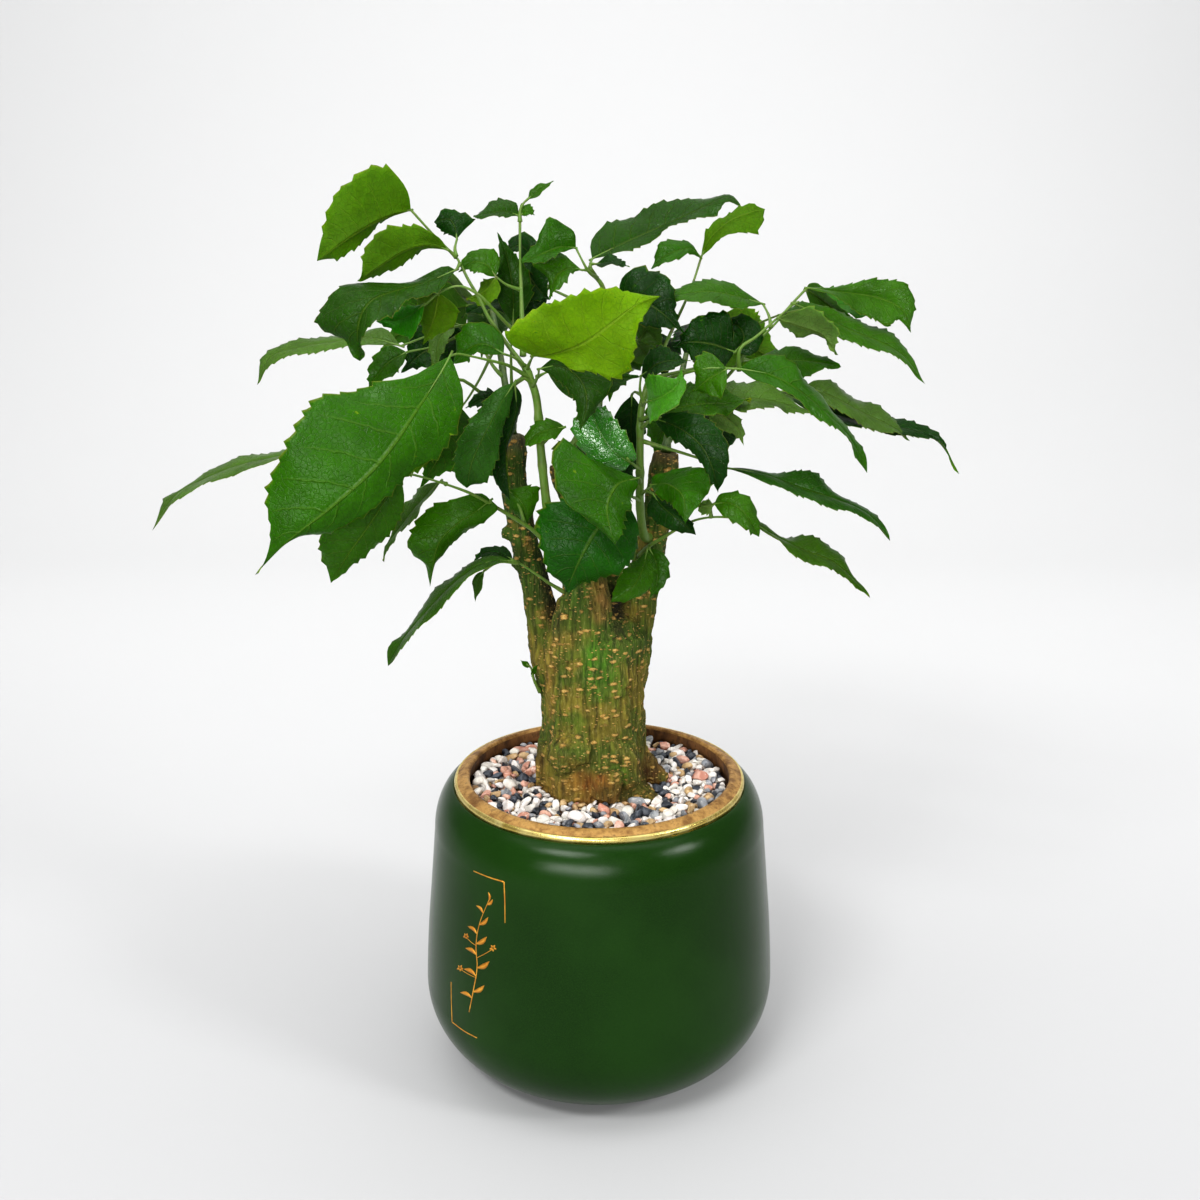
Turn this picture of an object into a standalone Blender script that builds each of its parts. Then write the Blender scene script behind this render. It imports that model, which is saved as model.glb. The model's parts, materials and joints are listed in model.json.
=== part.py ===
# A potted china doll plant: a stout, cut-back trunk with young leafy shoots, in a round-shouldered
# ceramic pot with a gravel top.  Metres, +Z up, origin at the centre of the pot's flat base.
#
# The crown is laid out like a drawing on a 1200 x 1200 sheet seen from one eye point.  A point of a
# stem or a leaf is typed as (across, down, Y): its place on the sheet, and its depth Y in mm in the
# object's own frame (-Y is the front).  P() turns that into a point in space.
import bpy
import bmesh
import math
from mathutils import Vector

MM = 0.001

# ---- driving dimensions, mm ----
POT_H = 135.0          # foot to the top of the rim
POT_R = 80.0           # widest radius
POT_BELLY_Z = 37.0     # height of the widest part
FOOT_R = 42.0          # flat foot
SHOULDER_R = 74.3      # where the side turns into the shoulder
SHOULDER_Z = 111.5
RIM_R = 64.2           # outer radius of the gold rim
RIM_H = 3.5            # height of the gold band
MOUTH_R = 58.2         # inner radius of the mouth
WALL = 5.5
SOIL_TOP = 123.0
GRAVEL_TOP = 129.3
GAP = 0.3              # gap left between pieces that touch
EYE = (0.0, -542.0, 370.0)
PITCH = math.radians(16.0)
FOCAL = 1300.0         # sheet units
SHEET = 600.0          # sheet centre
BLADE_T = 0.45         # half thickness of a leaf at its midrib

for ob in list(bpy.data.objects):
    bpy.data.objects.remove(ob, do_unlink=True)


def P(x, y, depth):
    """Point in mm seen at sheet place (x, y), at depth Y."""
    u, v = (x - SHEET) / FOCAL, (SHEET - y) / FOCAL
    d = Vector((u, math.cos(PITCH) + v * math.sin(PITCH), -math.sin(PITCH) + v * math.cos(PITCH)))
    return Vector(EYE) + d * ((depth - EYE[1]) / d.y)


def path(pts, n):
    """n + 1 points along a smooth curve through pts, evenly spaced."""
    p = [Vector(q) for q in pts]
    if len(p) == 2:
        dense = [p[0].lerp(p[1], i / 16) for i in range(17)]
    else:
        q = [p[0] * 2 - p[1]] + p + [p[-1] * 2 - p[-2]]
        dense = []
        for i in range(1, len(q) - 2):
            for k in range(16):
                t = k / 16
                a, b, c, d = q[i - 1], q[i], q[i + 1], q[i + 2]
                dense.append(0.5 * ((2 * b) + (c - a) * t + (2 * a - 5 * b + 4 * c - d) * t * t
                                    + (3 * b - a - 3 * c + d) * t * t * t))
        dense.append(p[-1])
    run = [0.0]
    for a, b in zip(dense, dense[1:]):
        run.append(run[-1] + (b - a).length)
    out, j = [], 0
    for i in range(n + 1):
        s = run[-1] * i / n
        while j < len(run) - 2 and run[j + 1] < s:
            j += 1
        f = (s - run[j]) / max(1e-9, run[j + 1] - run[j])
        out.append(dense[j].lerp(dense[j + 1], min(1.0, max(0.0, f))))
    return out

# ---- trunk: (across, down, Y, half width, half depth), mm from the axis for the stem ----
TRUNK = [  # (x, y, z, half width, half depth)
    (-3.0, 0.5, 92.0, 17.0, 16.0), (-3.0, 0.5, 112.0, 22.5, 21.0), (-3.0, 0.0, 124.0, 24.8, 23.5),
    (-3.0, 0.0, 132.0, 24.4, 23.0), (-2.9, 0.0, 142.0, 23.6, 22.3), (-2.7, 0.0, 158.0, 22.8, 21.8),
    (-2.7, 0.2, 174.0, 22.6, 21.8), (-2.8, 0.5, 187.0, 23.2, 22.2), (-3.2, 0.8, 198.0, 24.4, 22.0), (-3.2, 1.5, 206.0, 21.0, 19.0),
    (-3.2, 2.5, 212.0, 12.0, 12.0)]
# branch: list of (across, down, Y, radius mm) on the sheet, from inside the trunk to the cut top
BRANCHES = [
    [(560, 690, 0, 8.5), (552, 655, 0, 9.2), (545, 622, 0, 8.0), (535, 578, 1, 6.5), (527, 548, 2, 6.0), (521, 518, 3, 5.8), (515, 487, 4, 5.7), (513, 452, 4, 5.7), (513, 434, 4, 5.4)],
    [(594, 690, -6, 13.0), (591, 648, -8, 13.4), (588, 606, -10, 11.2), (584, 566, -9, 9.8), (584, 530, -8, 8.8), (583, 500, -6, 8.2), (575, 476, -5, 9.2), (570, 460, -4, 9.0)],
    [(626, 690, 2, 9.0), (632, 650, 3, 9.4), (640, 608, 4, 7.8), (647, 570, 5, 7.2), (654, 535, 6, 6.8), (660, 500, 8, 6.2), (665, 470, 9, 5.9), (667, 452, 9, 5.4)],
    [(600, 690, 8, 11.0), (602, 645, 11, 11.4), (606, 600, 17, 9.0), (607, 560, 22, 7.4), (606, 520, 27, 6.6), (603, 490, 30, 6.2)],
]
# roots: (x, y, z, radius) mm
ROOTS = [
    [(10, -6, 128, 8.5), (19, -12, 127, 6.0), (27, -16, 121, 4.6), (33, -20, 108, 3.4), (34, -24, 84, 2.2)],
    [(-12, -8, 122, 8.0), (-24, -16, 117, 5.6), (-33, -22, 104, 4.0), (-38, -27, 78, 2.4)],
    [(-10, 10, 122, 8.0), (-21, 20, 116, 5.4), (-29, 29, 100, 4.0), (-31, 37, 72, 2.4)],
    [(8, 10, 123, 8.0), (19, 20, 118, 5.4), (28, 28, 104, 4.0), (34, 35, 76, 2.4)],
    [(-3, 1, 100, 14.0), (-2, 2, 80, 9.0), (2, -2, 58, 5.5), (6, 2, 34, 2.8)],
]
# ---- green stems: name -> (points (across, down, Y), first radius, last radius, start trim mm) ----
STEMS = {
    "shoot_front_left": ([(558, 556, -14), (550, 520, -20), (545, 482, -22), (541, 440, -23), (539, 410, -24), (536, 392, -25), (530, 376, -26), (526, 366, -27)], 2.0, 1.5, 0.0),
    "shoot_right": ([(645, 536, -6), (641, 505, -16), (641, 478, -22), (641, 445, -24), (642, 412, -25), (648, 388, -25), (656, 371, -24)], 2.0, 1.3, 0.0),
    "shoot_centre": ([(572, 450, 2), (584, 425, 6), (598, 380, 8), (608, 335, 6), (605, 292, 2), (597, 277, 0), (591, 268, -2)], 1.7, 0.8, 0.0),
    "shoot_back_left": ([(513, 424, 8), (509, 402, 16), (503, 365, 30), (496, 325, 46), (490, 300, 58)], 1.8, 1.0, 0.0),
    "shoot_back_right": ([(668, 442, 12), (672, 420, 20), (680, 385, 36), (688, 350, 52), (694, 322, 64)], 1.8, 1.0, 0.0),
    "shoot_back_centre": ([(602, 480, 34), (600, 450, 42), (600, 410, 56), (604, 365, 74), (606, 330, 90)], 1.9, 1.0, 0.0),
}
# ---- leaves: node -> (stalks [(points, trim mm)], leaflets) ----
# leaflet: (points from base to tip, full width mm, roll deg (or roll at base, roll at tip), fold deg, tint)
# roll turns the blade about its midrib, 0 facing the eye; fold > 0 shows the upper side.
# or, for a leaflet with its own outline: (points from base to tip, (across, down) places along the edge on its
# left, how far that edge lies behind the midrib, the same two for the edge on its right, tint, upper side to the eye 1 or -1)
LEAVES = {
    "leaf_top_left": ([([(529, 372, -26), (517, 356, -23), (505, 340, -23), (490, 318, -24), (480, 298, -25), (470, 281, -26), (458, 258, -26), (448, 248, -27), (432, 232, -28), (412, 210, -30)], 3.2, 0.9, 0.5),
                       ([(457, 257, -26), (449, 250, -29)], 0.0), ([(457, 256, -26), (456, 248, -24), (458, 239, -23)], 0.0),
                       ([(461, 264, -26), (457, 270, -33)], 0.0)], [
        ([(412, 210, -30), (395, 213, -34), (372, 224, -38), (345, 241, -40), (318, 261, -38)], [(392, 218), (374, 231), (356, 246), (339, 259)], 4, [(409, 192), (398, 176), (378, 166), (357, 175), (340, 190), (330, 212), (322, 240)], -3, "lit", -1),
        ([(449, 250, -29), (430, 244, -31), (408, 249, -34), (386, 262, -36), (358, 281, -36)], [(430, 249), (410, 259), (389, 271), (373, 279)], 4, [(440, 237), (425, 229), (400, 227), (382, 229), (373, 241), (365, 256), (363, 271)], -3, "lit", -1),
        ([(458, 239, -23), (456, 228, -22), (450, 219, -21), (435, 222, -22)], [(450, 234), (443, 231)], 1, [(466, 229), (474, 219), (462, 213), (446, 209)], 2, "dark", 1),
        ([(457, 270, -33), (430, 281, -42), (398, 290, -50), (371, 302, -56), (359, 328, -56), (361, 361, -52)], [(445, 284), (424, 298), (403, 305), (385, 315), (371, 326), (364, 344)], -7, [(445, 266), (420, 278), (390, 282), (355, 286), (328, 301), (315, 320), (330, 334), (350, 341)], 7, "sheen", 1)]),
    "leaf_left": ([([(549, 546, -19), (535, 531, -23), (520, 521, -26), (500, 509, -30), (475, 495, -36), (455, 487, -42), (430, 479, -50), (400, 471, -60)], 0.0, 0.9, 0.5),
                   ([(447, 484, -44), (442, 481, -40)], 0.0), ([(492, 504, -32), (492, 500, -31)], 0.0)], [
        ([(400, 471, -60), (386, 500, -62), (367, 530, -62), (350, 554, -60), (332, 583, -56)], [(404, 487), (405, 503), (398, 522), (383, 541), (362, 559), (345, 570)], 4, [(375, 480), (350, 500), (327, 525), (321, 543), (324, 560), (329, 572)], 3, "mid", 1),
        ([(442, 481, -40), (418, 505, -36), (399, 530, -32), (388, 546, -30), (385, 562, -28)], 13, 62, 12, "grey"),
        ([(492, 500, -31), (475, 513, -36), (456, 526, -38), (439, 546, -40), (431, 587, -36)], [(499, 509), (485, 521), (466, 533), (450, 546), (439, 559), (434, 573)], 5, [(480, 493), (452, 500), (430, 509), (415, 528), (408, 542), (416, 556), (427, 566)], 4, "mid", 1)]),
    "leaf_low_right": ([([(640, 556, -8), (650, 546, -18), (665, 537, -26), (680, 528, -33), (697, 520, -39), (716, 517, -44), (738, 518, -48), (750, 520, -48)], 0.0, 0.9, 0.5),
                        ([(712, 517, -43), (712, 508, -46), (716, 503, -48)], 0.0), ([(650, 546, -18), (648, 550, -22)], 0.0)], [
        ([(750, 520, -48), (778, 537, -43), (808, 551, -38), (838, 564, -34), (871, 598, -30)], [(765, 524), (785, 537), (806, 536), (828, 546), (845, 557), (856, 577)], 8, [(765, 532), (786, 546), (806, 560), (830, 570), (850, 579)], -7, "olive2", 1),
        ([(715, 504, -48), (730, 503, -52), (745, 512, -55), (760, 537, -54)], [(722, 494), (740, 493), (754, 503), (759, 520)], 4, [(722, 513), (738, 523), (751, 531)], -3, "mid", 1),
        ([(714, 505, -47), (706, 506, -46), (697, 504, -44)], 7, 30, -12, "grey"),
        ([(648, 550, -22), (643, 571, -27), (632, 589, -30), (612, 602, -30)], [(656, 561), (659, 578), (646, 593), (628, 600)], 3, [(636, 561), (623, 573), (616, 588)], 4, "mid", 1),
        ([(650, 548, -21), (657, 562, -24), (658, 582, -26), (650, 600, -26)], 10, 0, 14, "olive")]),
    "leaf_left_tall": ([([(524, 356, -22), (524, 335, -18), (523, 318, -16), (522, 285, -12), (521, 250, -9), (521, 220, -7)], 0.0, 1.1, 0.6),
                         ([(521, 222, -7), (521, 212, -7), (524, 204, -7), (530, 198, -7)], 0.0),
                         ([(522, 290, -12), (508, 285, -16), (497, 277, -18)], 0.0)], [
        ([(520, 216, -7), (506, 211, -8), (491, 213, -10), (474, 217, -12)], [(508, 216), (492, 217)], -4, [(517, 203), (505, 199), (492, 203), (482, 211)], 4, "sheen", 1),
        ([(522, 215, -7), (528, 211, -7), (536, 215, -7)], 6, -40, 14, "mid"),
        ([(529, 199, -7), (540, 190, -7), (555, 181, -7)], 5, -40, 14, "mid"),
        ([(497, 277, -18), (488, 265, -18), (474, 262, -17), (459, 272, -15)], 13, 40, 14, "mid"),
        ([(497, 277, -18), (492, 286, -18), (482, 295, -17), (467, 300, -15)], 11, 40, -14, "bright")]),
    "leaf_right_high": ([([(650, 391, -24), (672, 391, -16), (700, 390, -13), (718, 386, -13), (735, 369, -15), (750, 350, -15), (775, 325, -13), (790, 307, -10), (808, 288, -6)], 2.4, 1.0, 0.55),
                         ([(772, 328, -14), (770, 316, -12), (764, 304, -10)], 0.0)], [
        ([(808, 288, -6), (845, 292, 4), (880, 298, 10), (904, 310, 10), (912, 333, 6)], [(825, 287), (850, 285), (878, 279), (903, 282), (913, 297), (914, 316)], 6, [(830, 295), (850, 305), (872, 317), (888, 326), (899, 319), (908, 326)], -5, "mid", 1),
        ([(806, 290, -6), (825, 303, 2), (845, 318, 6), (862, 326, 8)], 16, -48, -12, "dark"),
        ([(764, 304, -10), (738, 296, -15), (710, 291, -20), (685, 294, -22), (661, 299, -22)], [(752, 307), (738, 307), (718, 303), (700, 303), (680, 299)], -7, [(755, 298), (738, 288), (722, 280), (704, 279), (684, 288), (670, 294)], 6, "mid", 1)]),
    "leaf_left_olive": ([([(523, 334, -18), (511, 327, -25), (495, 310, -32), (480, 295, -36), (460, 286, -38), (440, 293, -38), (426, 305, -38)], 1.8)], [
        ([(440, 293, -38), (438, 306, -34), (434, 322, -30), (424, 345, -26)], 17, 8, -16, "olive"),
        ([(426, 304, -38), (412, 314, -36), (398, 320, -32), (377, 321, -30)], [(420, 326), (410, 337), (396, 331), (386, 325)], -2, [(414, 306), (400, 309), (388, 312)], 3, "gloss", 1)]),
    "leaf_upright_dark": ([([(513, 402, 8), (512, 350, 0), (514, 322, -2)], 3.0)], [
        ([(514, 322, -2), (514, 290, -4), (508, 258, -4), (498, 232, -5)], 15, 20, 16, "sheen"),
        ([(514, 318, -1), (500, 303, 2), (480, 307, 4), (461, 318, 6)], 12, 50, 14, "dark")]),
    "leaf_behind_tall": ([([(606, 318, 6), (575, 300, 10), (545, 285, 12), (525, 268, 11)], 2.4)], [
        ([(525, 268, 11), (534, 282, 9), (542, 292, 7), (551, 300, 5)], 20, 10, 14, "dark"),
        ([(527, 272, 11), (528, 290, 12), (522, 306, 12), (512, 316, 12)], 18, -10, 14, "dark"),
        ([(545, 285, 12), (535, 262, 13), (520, 245, 12), (497, 261, 10)], 13, 40, 14, "dark")]),
    "leaf_centre_top_left": ([([(598, 278, 0), (590, 272, -6), (584, 262, -8), (577, 248, -6)], 2.6), ([(589, 270, -6), (583, 270, -7)], 0.0)], [
        ([(577, 248, -6), (562, 247, -10), (545, 253, -14), (522, 263, -16)], [(566, 251), (552, 258), (537, 263)], -4, [(575, 232), (563, 222), (550, 219), (542, 232), (535, 245), (526, 256)], 3, "bright", 1),
        ([(583, 270, -7), (570, 268, -10), (557, 277, -12), (551, 299, -12)], [(574, 272), (564, 283), (555, 293)], -3, [(573, 262), (562, 252), (545, 256), (532, 264), (547, 275), (550, 288)], 4, "mid", 1)]),
    "leaf_centre_top_right": ([([(591, 268, -2), (591.5, 264, 0), (593, 259, 2)], 1.3), ([(591.5, 264, 0), (597, 264, -2)], 0.0)], [
        ([(593, 259, 2), (612, 249, 5), (640, 236, 8), (670, 223, 9), (700, 209, 8), (728, 197, 6), (743, 208, 4)], [(592, 242), (606, 226), (628, 217), (657, 205), (690, 201), (718, 194), (733, 195)], 7, [(612, 255), (640, 246), (664, 231), (690, 222), (712, 214), (727, 201)], -6, "sheen", 1),
        ([(597, 264, -2), (612, 262, -6), (631, 267, -8)], 8, -58, 14, "dark")]),
    "leaf_left_long": ([([(501, 346, 34), (470, 326, 12), (440, 332, 4), (402, 346, -2)], 3.2)], [
        ([(402, 346, -2), (372, 338, 2), (340, 341, 6), (300, 347, 11), (271, 357, 14), (258, 385, 14)], [(382, 345), (350, 346), (318, 351), (288, 357), (268, 369)], -4, [(385, 328), (360, 333), (325, 337), (290, 343), (263, 358)], 5, "sage", 1)]),
    "leaf_left_cluster": ([([(505, 378, 25), (494, 366, 25), (482, 345, 29), (470, 330, 30), (452, 322, 28)], 3.2), ([(470, 330, 30), (440, 345, 26), (408, 352, 22)], 0.0)], [
        ([(466, 334, 30), (445, 342, 32), (422, 354, 32), (402, 373, 30)], 24, 15, 14, "dark"),
        ([(455, 323, 28), (440, 340, 20), (436, 375, 16)], 9, 30, 14, "sage"),
        ([(408, 352, 22), (391, 361, 21), (377, 376, 20), (368, 390, 20)], 13, 25, 14, "olive")]),
    "leaf_giant": ([([(531, 378, -26), (516, 369, -34), (505, 364, -40), (480, 358, -49), (460, 354, -56), (451, 356, -60)], 3.2)], [
        ([(451, 356, -60), (438, 380, -66), (421, 405, -72), (395, 445, -80), (370, 475, -84), (330, 510, -88), (285, 545, -88), (256, 575, -82)], [(458, 372), (465, 400), (458, 425), (440, 455), (418, 468), (395, 487), (372, 508), (350, 522), (322, 534), (295, 539), (278, 552)], 7, [(430, 367), (410, 378), (380, 383), (350, 392), (322, 397), (305, 415), (293, 435), (282, 458), (273, 482), (268, 503), (272, 530), (268, 553)], 3, "bright", 1)]),
    "leaf_bright_fold": ([([(526, 366, -27), (516, 358, -33), (505, 354, -37)], 1.7)], [
        ([(505, 354, -37), (486, 344, -35), (468, 350, -33), (450, 369, -31)], 18, 45, 22, "bright")]),
    "leaf_hanging_blue": ([([(534, 384, -26), (524, 378, -30), (516, 382, -32)], 2.7), ([(524, 378, -30), (512, 388, -24), (500, 399, -20)], 0.0)], [
        ([(516, 382, -32), (503, 402, -36), (487, 432, -40), (473, 462, -40), (468, 488, -36)], [(512, 402), (503, 432), (497, 460), (486, 482)], 5, [(497, 390), (480, 411), (465, 430), (457, 452), (456, 476)], 3, "blue", 1),
        ([(516, 384, -32), (517, 412, -30), (507, 452, -28), (511, 501, -26)], [(523, 398), (518, 422), (509, 446), (504, 470), (507, 488)], 3, [(508, 400), (498, 430), (492, 460), (499, 487)], 3, "dark", 1),
        ([(500, 399, -20), (484, 399, -19), (466, 408, -18)], 8, 40, 14, "dark")]),
    "leaf_mid_low": ([([(526, 526, -24), (520, 506, -20), (508, 490, -18)], 1.6)], [
        ([(508, 490, -18), (519, 498, -20), (526, 510, -20), (528, 524, -20)], [(525, 487), (539, 488), (538, 502), (533, 514)], 2, [(507, 500), (514, 510), (522, 519)], 2, "mid", 1)]),
    "leaf_mid_side": ([([(541, 446, -23), (552, 436, -28), (566, 427, -30)], 2.6)], [
        ([(566, 427, -30), (548, 430, -32), (535, 436, -32), (526, 447, -32)], [(556, 438), (543, 441), (533, 445)], -4, [(555, 420), (540, 422), (528, 432)], 3, "mid", 1)]),
    "leaf_lit_big": ([([(528, 369, -27), (531, 362, -33), (534, 356, -40)], 2.7)], [
        ([(534, 356, -40), (560, 352, -48), (585, 343, -54), (612, 324, -58), (640, 303, -58), (662, 296, -54)], [(516, 346), (509, 332), (530, 315), (565, 300), (600, 289), (632, 292)], -2, [(555, 360), (585, 367), (616, 379), (630, 367), (636, 345), (640, 320)], -2, "backlit", -1)]),
    "leaf_arch_centre": ([([(534, 386, -26), (539, 376, -34), (540, 369, -40)], 2.8), ([(538, 377, -33), (548, 372, -28)], 0.0)], [
        ([(540, 369, -40), (560, 366, -43), (580, 378, -47), (588, 402, -50), (581, 431, -50)], [(560, 356), (590, 362), (612, 378), (610, 392), (600, 404), (590, 418)], 2, [(545, 371), (559, 380), (570, 390), (577, 402), (579, 418)], 2, "sheen", 1),
        ([(548, 372, -28), (575, 374, -27), (610, 378, -26), (641, 377, -24)], 22, -18, 10, "sheen")]),
    "leaf_centre_back_dark": ([([(608, 334, 6), (613, 318, -6), (618, 306, -14)], 2.6), ([(612, 322, -4), (630, 338, -6), (640, 340, -8)], 0.0)], [
        ([(618, 306, -14), (638, 300, -22), (662, 312, -28), (685, 334, -27)], 26, -26, 16, "dark"),
        ([(640, 340, -8), (648, 331, -11), (656, 338, -14), (665, 348, -15)], 12, 0, 16, "sage"),
        ([(638, 341, -8), (645, 352, -3), (655, 364, 0)], 13, 0, 14, "sage")]),
    "leaf_top_right": ([([(656, 370, -24), (664, 350, -22), (674, 328, -18), (687, 300, -12), (695, 280, -8), (702, 258, -4)], 2.2)], [
        ([(702, 257, -4), (713, 238, -6), (731, 222, -8), (748, 214, -8), (766, 209, -6)], [(705, 241), (714, 224), (730, 213), (748, 205)], 4, [(715, 246), (728, 235), (742, 231), (759, 231)], -3, "lit", -1),
        ([(702, 258, -4), (694, 249, -8), (680, 250, -10), (664, 257, -10), (652, 269, -10)], [(690, 254), (674, 260), (660, 266)], -4, [(690, 243), (676, 240), (662, 243), (656, 257)], 3, "bright", 1)]),
    "leaf_right_curly": ([([(654, 378, -24), (680, 372, -22), (712, 364, -22), (736, 352, -21)], 2.3)], [
        ([(736, 352, -21), (712, 344, -23), (690, 342, -23), (674, 347, -21)], 26, 20, 14, "dark"),
        ([(736, 352, -21), (745, 338, -16), (738, 325, -12), (720, 326, -9)], 15, 20, 14, "dark"),
        ([(712, 364, -22), (708, 372, -28), (698, 378, -32)], 12, 20, 20, "dark")]),
    "leaf_far_right_low": ([([(740, 371, -22), (741, 349, -24), (757, 337, -22), (775, 321, -20), (795, 304, -18), (800, 302, -17)], 1.9)], [
        ([(795, 304, -18), (822, 315, -12), (852, 330, -5), (882, 342, 0), (903, 355, 3), (926, 384, 4)], [(815, 303), (838, 313), (862, 322), (885, 328), (900, 340), (912, 362)], 8, [(808, 314), (830, 330), (855, 341), (880, 352), (900, 358), (915, 370)], -6, "mid", 1),
        ([(779, 318, -20), (800, 325, -20), (825, 335, -18), (839, 355, -16)], 22, 60, -12, "grey")]),
    "leaf_right_behind_pair": ([([(692, 334, 59), (740, 330, 50), (780, 315, 38), (812, 307, 30)], 1.9)], [
        ([(812, 307, 30), (850, 305, 28), (870, 310, 28), (892, 326, 26)], 20, -56, 12, "lit"),
        ([(780, 315, 38), (805, 317, 38), (830, 322, 36), (852, 330, 34)], 16, -56, 12, "olive")]),
    "leaf_right_mid_back": ([([(743, 359, -15), (750, 360, -9), (756, 360, -7)], 2.4)], [
        ([(756, 360, -7), (785, 360, -5), (815, 361, -3), (842, 367, -2)], [(770, 352), (790, 348), (812, 351), (830, 360)], 6, [(772, 371), (795, 377), (812, 374), (828, 369)], -5, "olive", 1)]),
    "leaf_right_broad": ([([(648, 386, -26), (665, 380, -34), (690, 372, -40), (712, 368, -44), (740, 369, -46)], 2.3)], [
        ([(740, 369, -46), (770, 374, -51), (800, 390, -54), (830, 415, -52), (852, 440, -46), (868, 473, -40)], [(756, 358), (778, 355), (797, 364), (808, 382), (828, 406), (850, 427), (862, 449)], 7, [(756, 380), (780, 389), (802, 402), (824, 420), (843, 434), (857, 453)], -5, "bright", 1),
        ([(728, 369, -46), (711, 378, -44), (694, 392, -42)], 19, 20, 14, "mid")]),
    "leaf_right_sage": ([([(660, 396, -16), (705, 398, -18), (740, 396, -18), (780, 392, -16), (808, 386, -14)], 1.6)], [
        ([(806, 386, -14), (835, 397, -8), (865, 413, -2), (892, 426, 3), (911, 441, 6)], [(818, 380), (838, 385), (856, 398), (880, 408), (898, 422)], 7, [(815, 394), (835, 408), (855, 420), (880, 431), (898, 434)], -6, "sage", 1),
        ([(780, 392, -16), (830, 412, -4), (880, 425, 6), (915, 430, 12), (940, 442, 14), (960, 474, 12)], 17, -60, 12, "dark")]),
    "leaf_right_under": ([([(641, 420, -26), (660, 412, -34), (690, 404, -36)], 2.4)], [
        ([(664, 411, -35), (700, 404, -38), (730, 403, -38), (753, 399, -36)], 24, -50, 14, "mid"),
        ([(690, 404, -36), (730, 398, -30), (775, 401, -24), (824, 416, -20)], 22, -60, 12, "sage"),
        ([(706, 410, -38), (722, 416, -36), (738, 428, -34), (745, 446, -32)], 9, -20, -14, "grey")]),
    "leaf_right_curl_pale": ([([(643, 405, -25), (645, 404, -34), (648, 402, -42)], 2.4), ([(645, 404, -34), (641, 390, -38), (642, 376, -40)], 0.0)], [
        ([(648, 402, -42), (664, 396, -54), (678, 385, -56), (683, 367, -52)], 19, -20, 24, "pale"),
        ([(642, 376, -40), (658, 364, -44), (675, 360, -44), (692, 361, -42)], 14, -44, 14, "dark")]),
    "leaf_front_centre": ([([(641, 482, -22), (641, 479, -32), (640, 478, -42)], 2.6)], [
        ([(640, 478, -42), (620, 484, -52), (609, 505, -58), (611, 527, -61), (617, 545, -63)], [(637, 490), (631, 500), (627, 513), (623, 530)], 2, [(625, 473), (600, 464), (583, 452), (568, 438), (557, 446), (554, 468), (558, 488), (568, 505), (590, 520), (606, 533)], 2, "bright", 1)]),
    "leaf_front_glossy": ([([(642, 470, -23), (634, 464, -30), (628, 458, -34)], 2.6)], [
        ([(632, 463, -31), (615, 452, -33), (601, 432, -31), (590, 404, -26)], [(622, 472), (600, 465), (582, 449), (575, 430), (579, 413)], 1, [(638, 457), (630, 441), (620, 425), (606, 408)], -2, "gloss", 1)]),
    "leaf_front_right": ([([(642, 494, -19), (649, 489, -30), (653, 486, -36)], 2.7), ([(648, 490, -28), (654, 494, -32)], 0.0)], [
        ([(652, 485, -35), (668, 484, -48), (684, 497, -56), (686, 524, -58)], [(655, 475), (675, 472), (698, 468), (713, 474), (709, 491), (697, 508)], 4, [(655, 491), (663, 498), (672, 503), (680, 513)], 3, "bright", 1),
        ([(654, 494, -32), (664, 507, -38), (681, 521, -44), (697, 535, -44)], [(663, 498), (675, 504), (686, 514), (694, 525)], 2, [(648, 510), (657, 522), (670, 529), (686, 533)], 2, "dark", 1)]),
    "leaf_front_low": ([([(641, 501, -17), (634, 497, -28), (628, 499, -33)], 4.2)], [
        ([(628, 499, -33), (612, 514, -40), (597, 531, -44), (581, 560, -46), (567, 592, -42)], [(636, 520), (640, 541), (634, 558), (622, 569), (603, 577), (585, 586)], 4, [(605, 499), (570, 500), (547, 506), (539, 522), (543, 545), (552, 572)], 3, "front_dark", 1)]),
    "leaf_right_dark": ([([(642, 428, -25), (652, 420, -36), (662, 417, -44)], 2.5)], [
        ([(655, 418, -39), (680, 428, -50), (702, 446, -56), (714, 470, -57), (719, 493, -54)], [(672, 413), (700, 415), (719, 428), (729, 448), (727, 472)], 0, [(662, 430), (678, 441), (693, 452), (705, 467), (713, 482)], 0, "dark", 1)]),
    "leaf_centre_vertical": ([([(644, 396, -25), (636, 392, -18), (632, 396, -14)], 2.4)], [
        ([(633, 395, -15), (632, 430, -12), (634, 472, -10)], 13, 20, 14, "dark")]),
    "leaf_right_horizontal": ([([(643, 441, -24), (690, 455, -24), (727, 468, -22)], 2.2)], [
        ([(727, 468, -22), (765, 474, -16), (803, 488, -9), (840, 500, -5), (870, 515, -4), (891, 541, -4)], [(748, 468), (780, 474), (813, 472), (832, 488), (855, 502), (878, 518)], 8, [(750, 475), (778, 486), (806, 499), (832, 508), (858, 512), (880, 528)], -7, "dark2", 1)]),
    "leaf_far_left": ([([(510, 408, 13), (485, 395, 8), (458, 379, 2), (420, 395, -6), (345, 440, -14)], 3.0)], [
        ([(345, 440, -14), (285, 455, -10), (240, 465, -4), (205, 479, 2), (178, 494, 4), (153, 531, 4)], [(320, 452), (280, 460), (240, 471), (212, 483), (188, 495), (166, 508)], -8, [(320, 444), (280, 450), (240, 459), (208, 474), (185, 487), (163, 500)], 8, "sage", 1)]),
    "leaf_low_left": ([([(565, 592, -20), (550, 583, -26), (540, 576, -30), (520, 563, -34), (512, 560, -36)], 0.0), ([(520, 563, -34), (500, 562, -38), (485, 571, -38)], 0.0)], [
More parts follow.
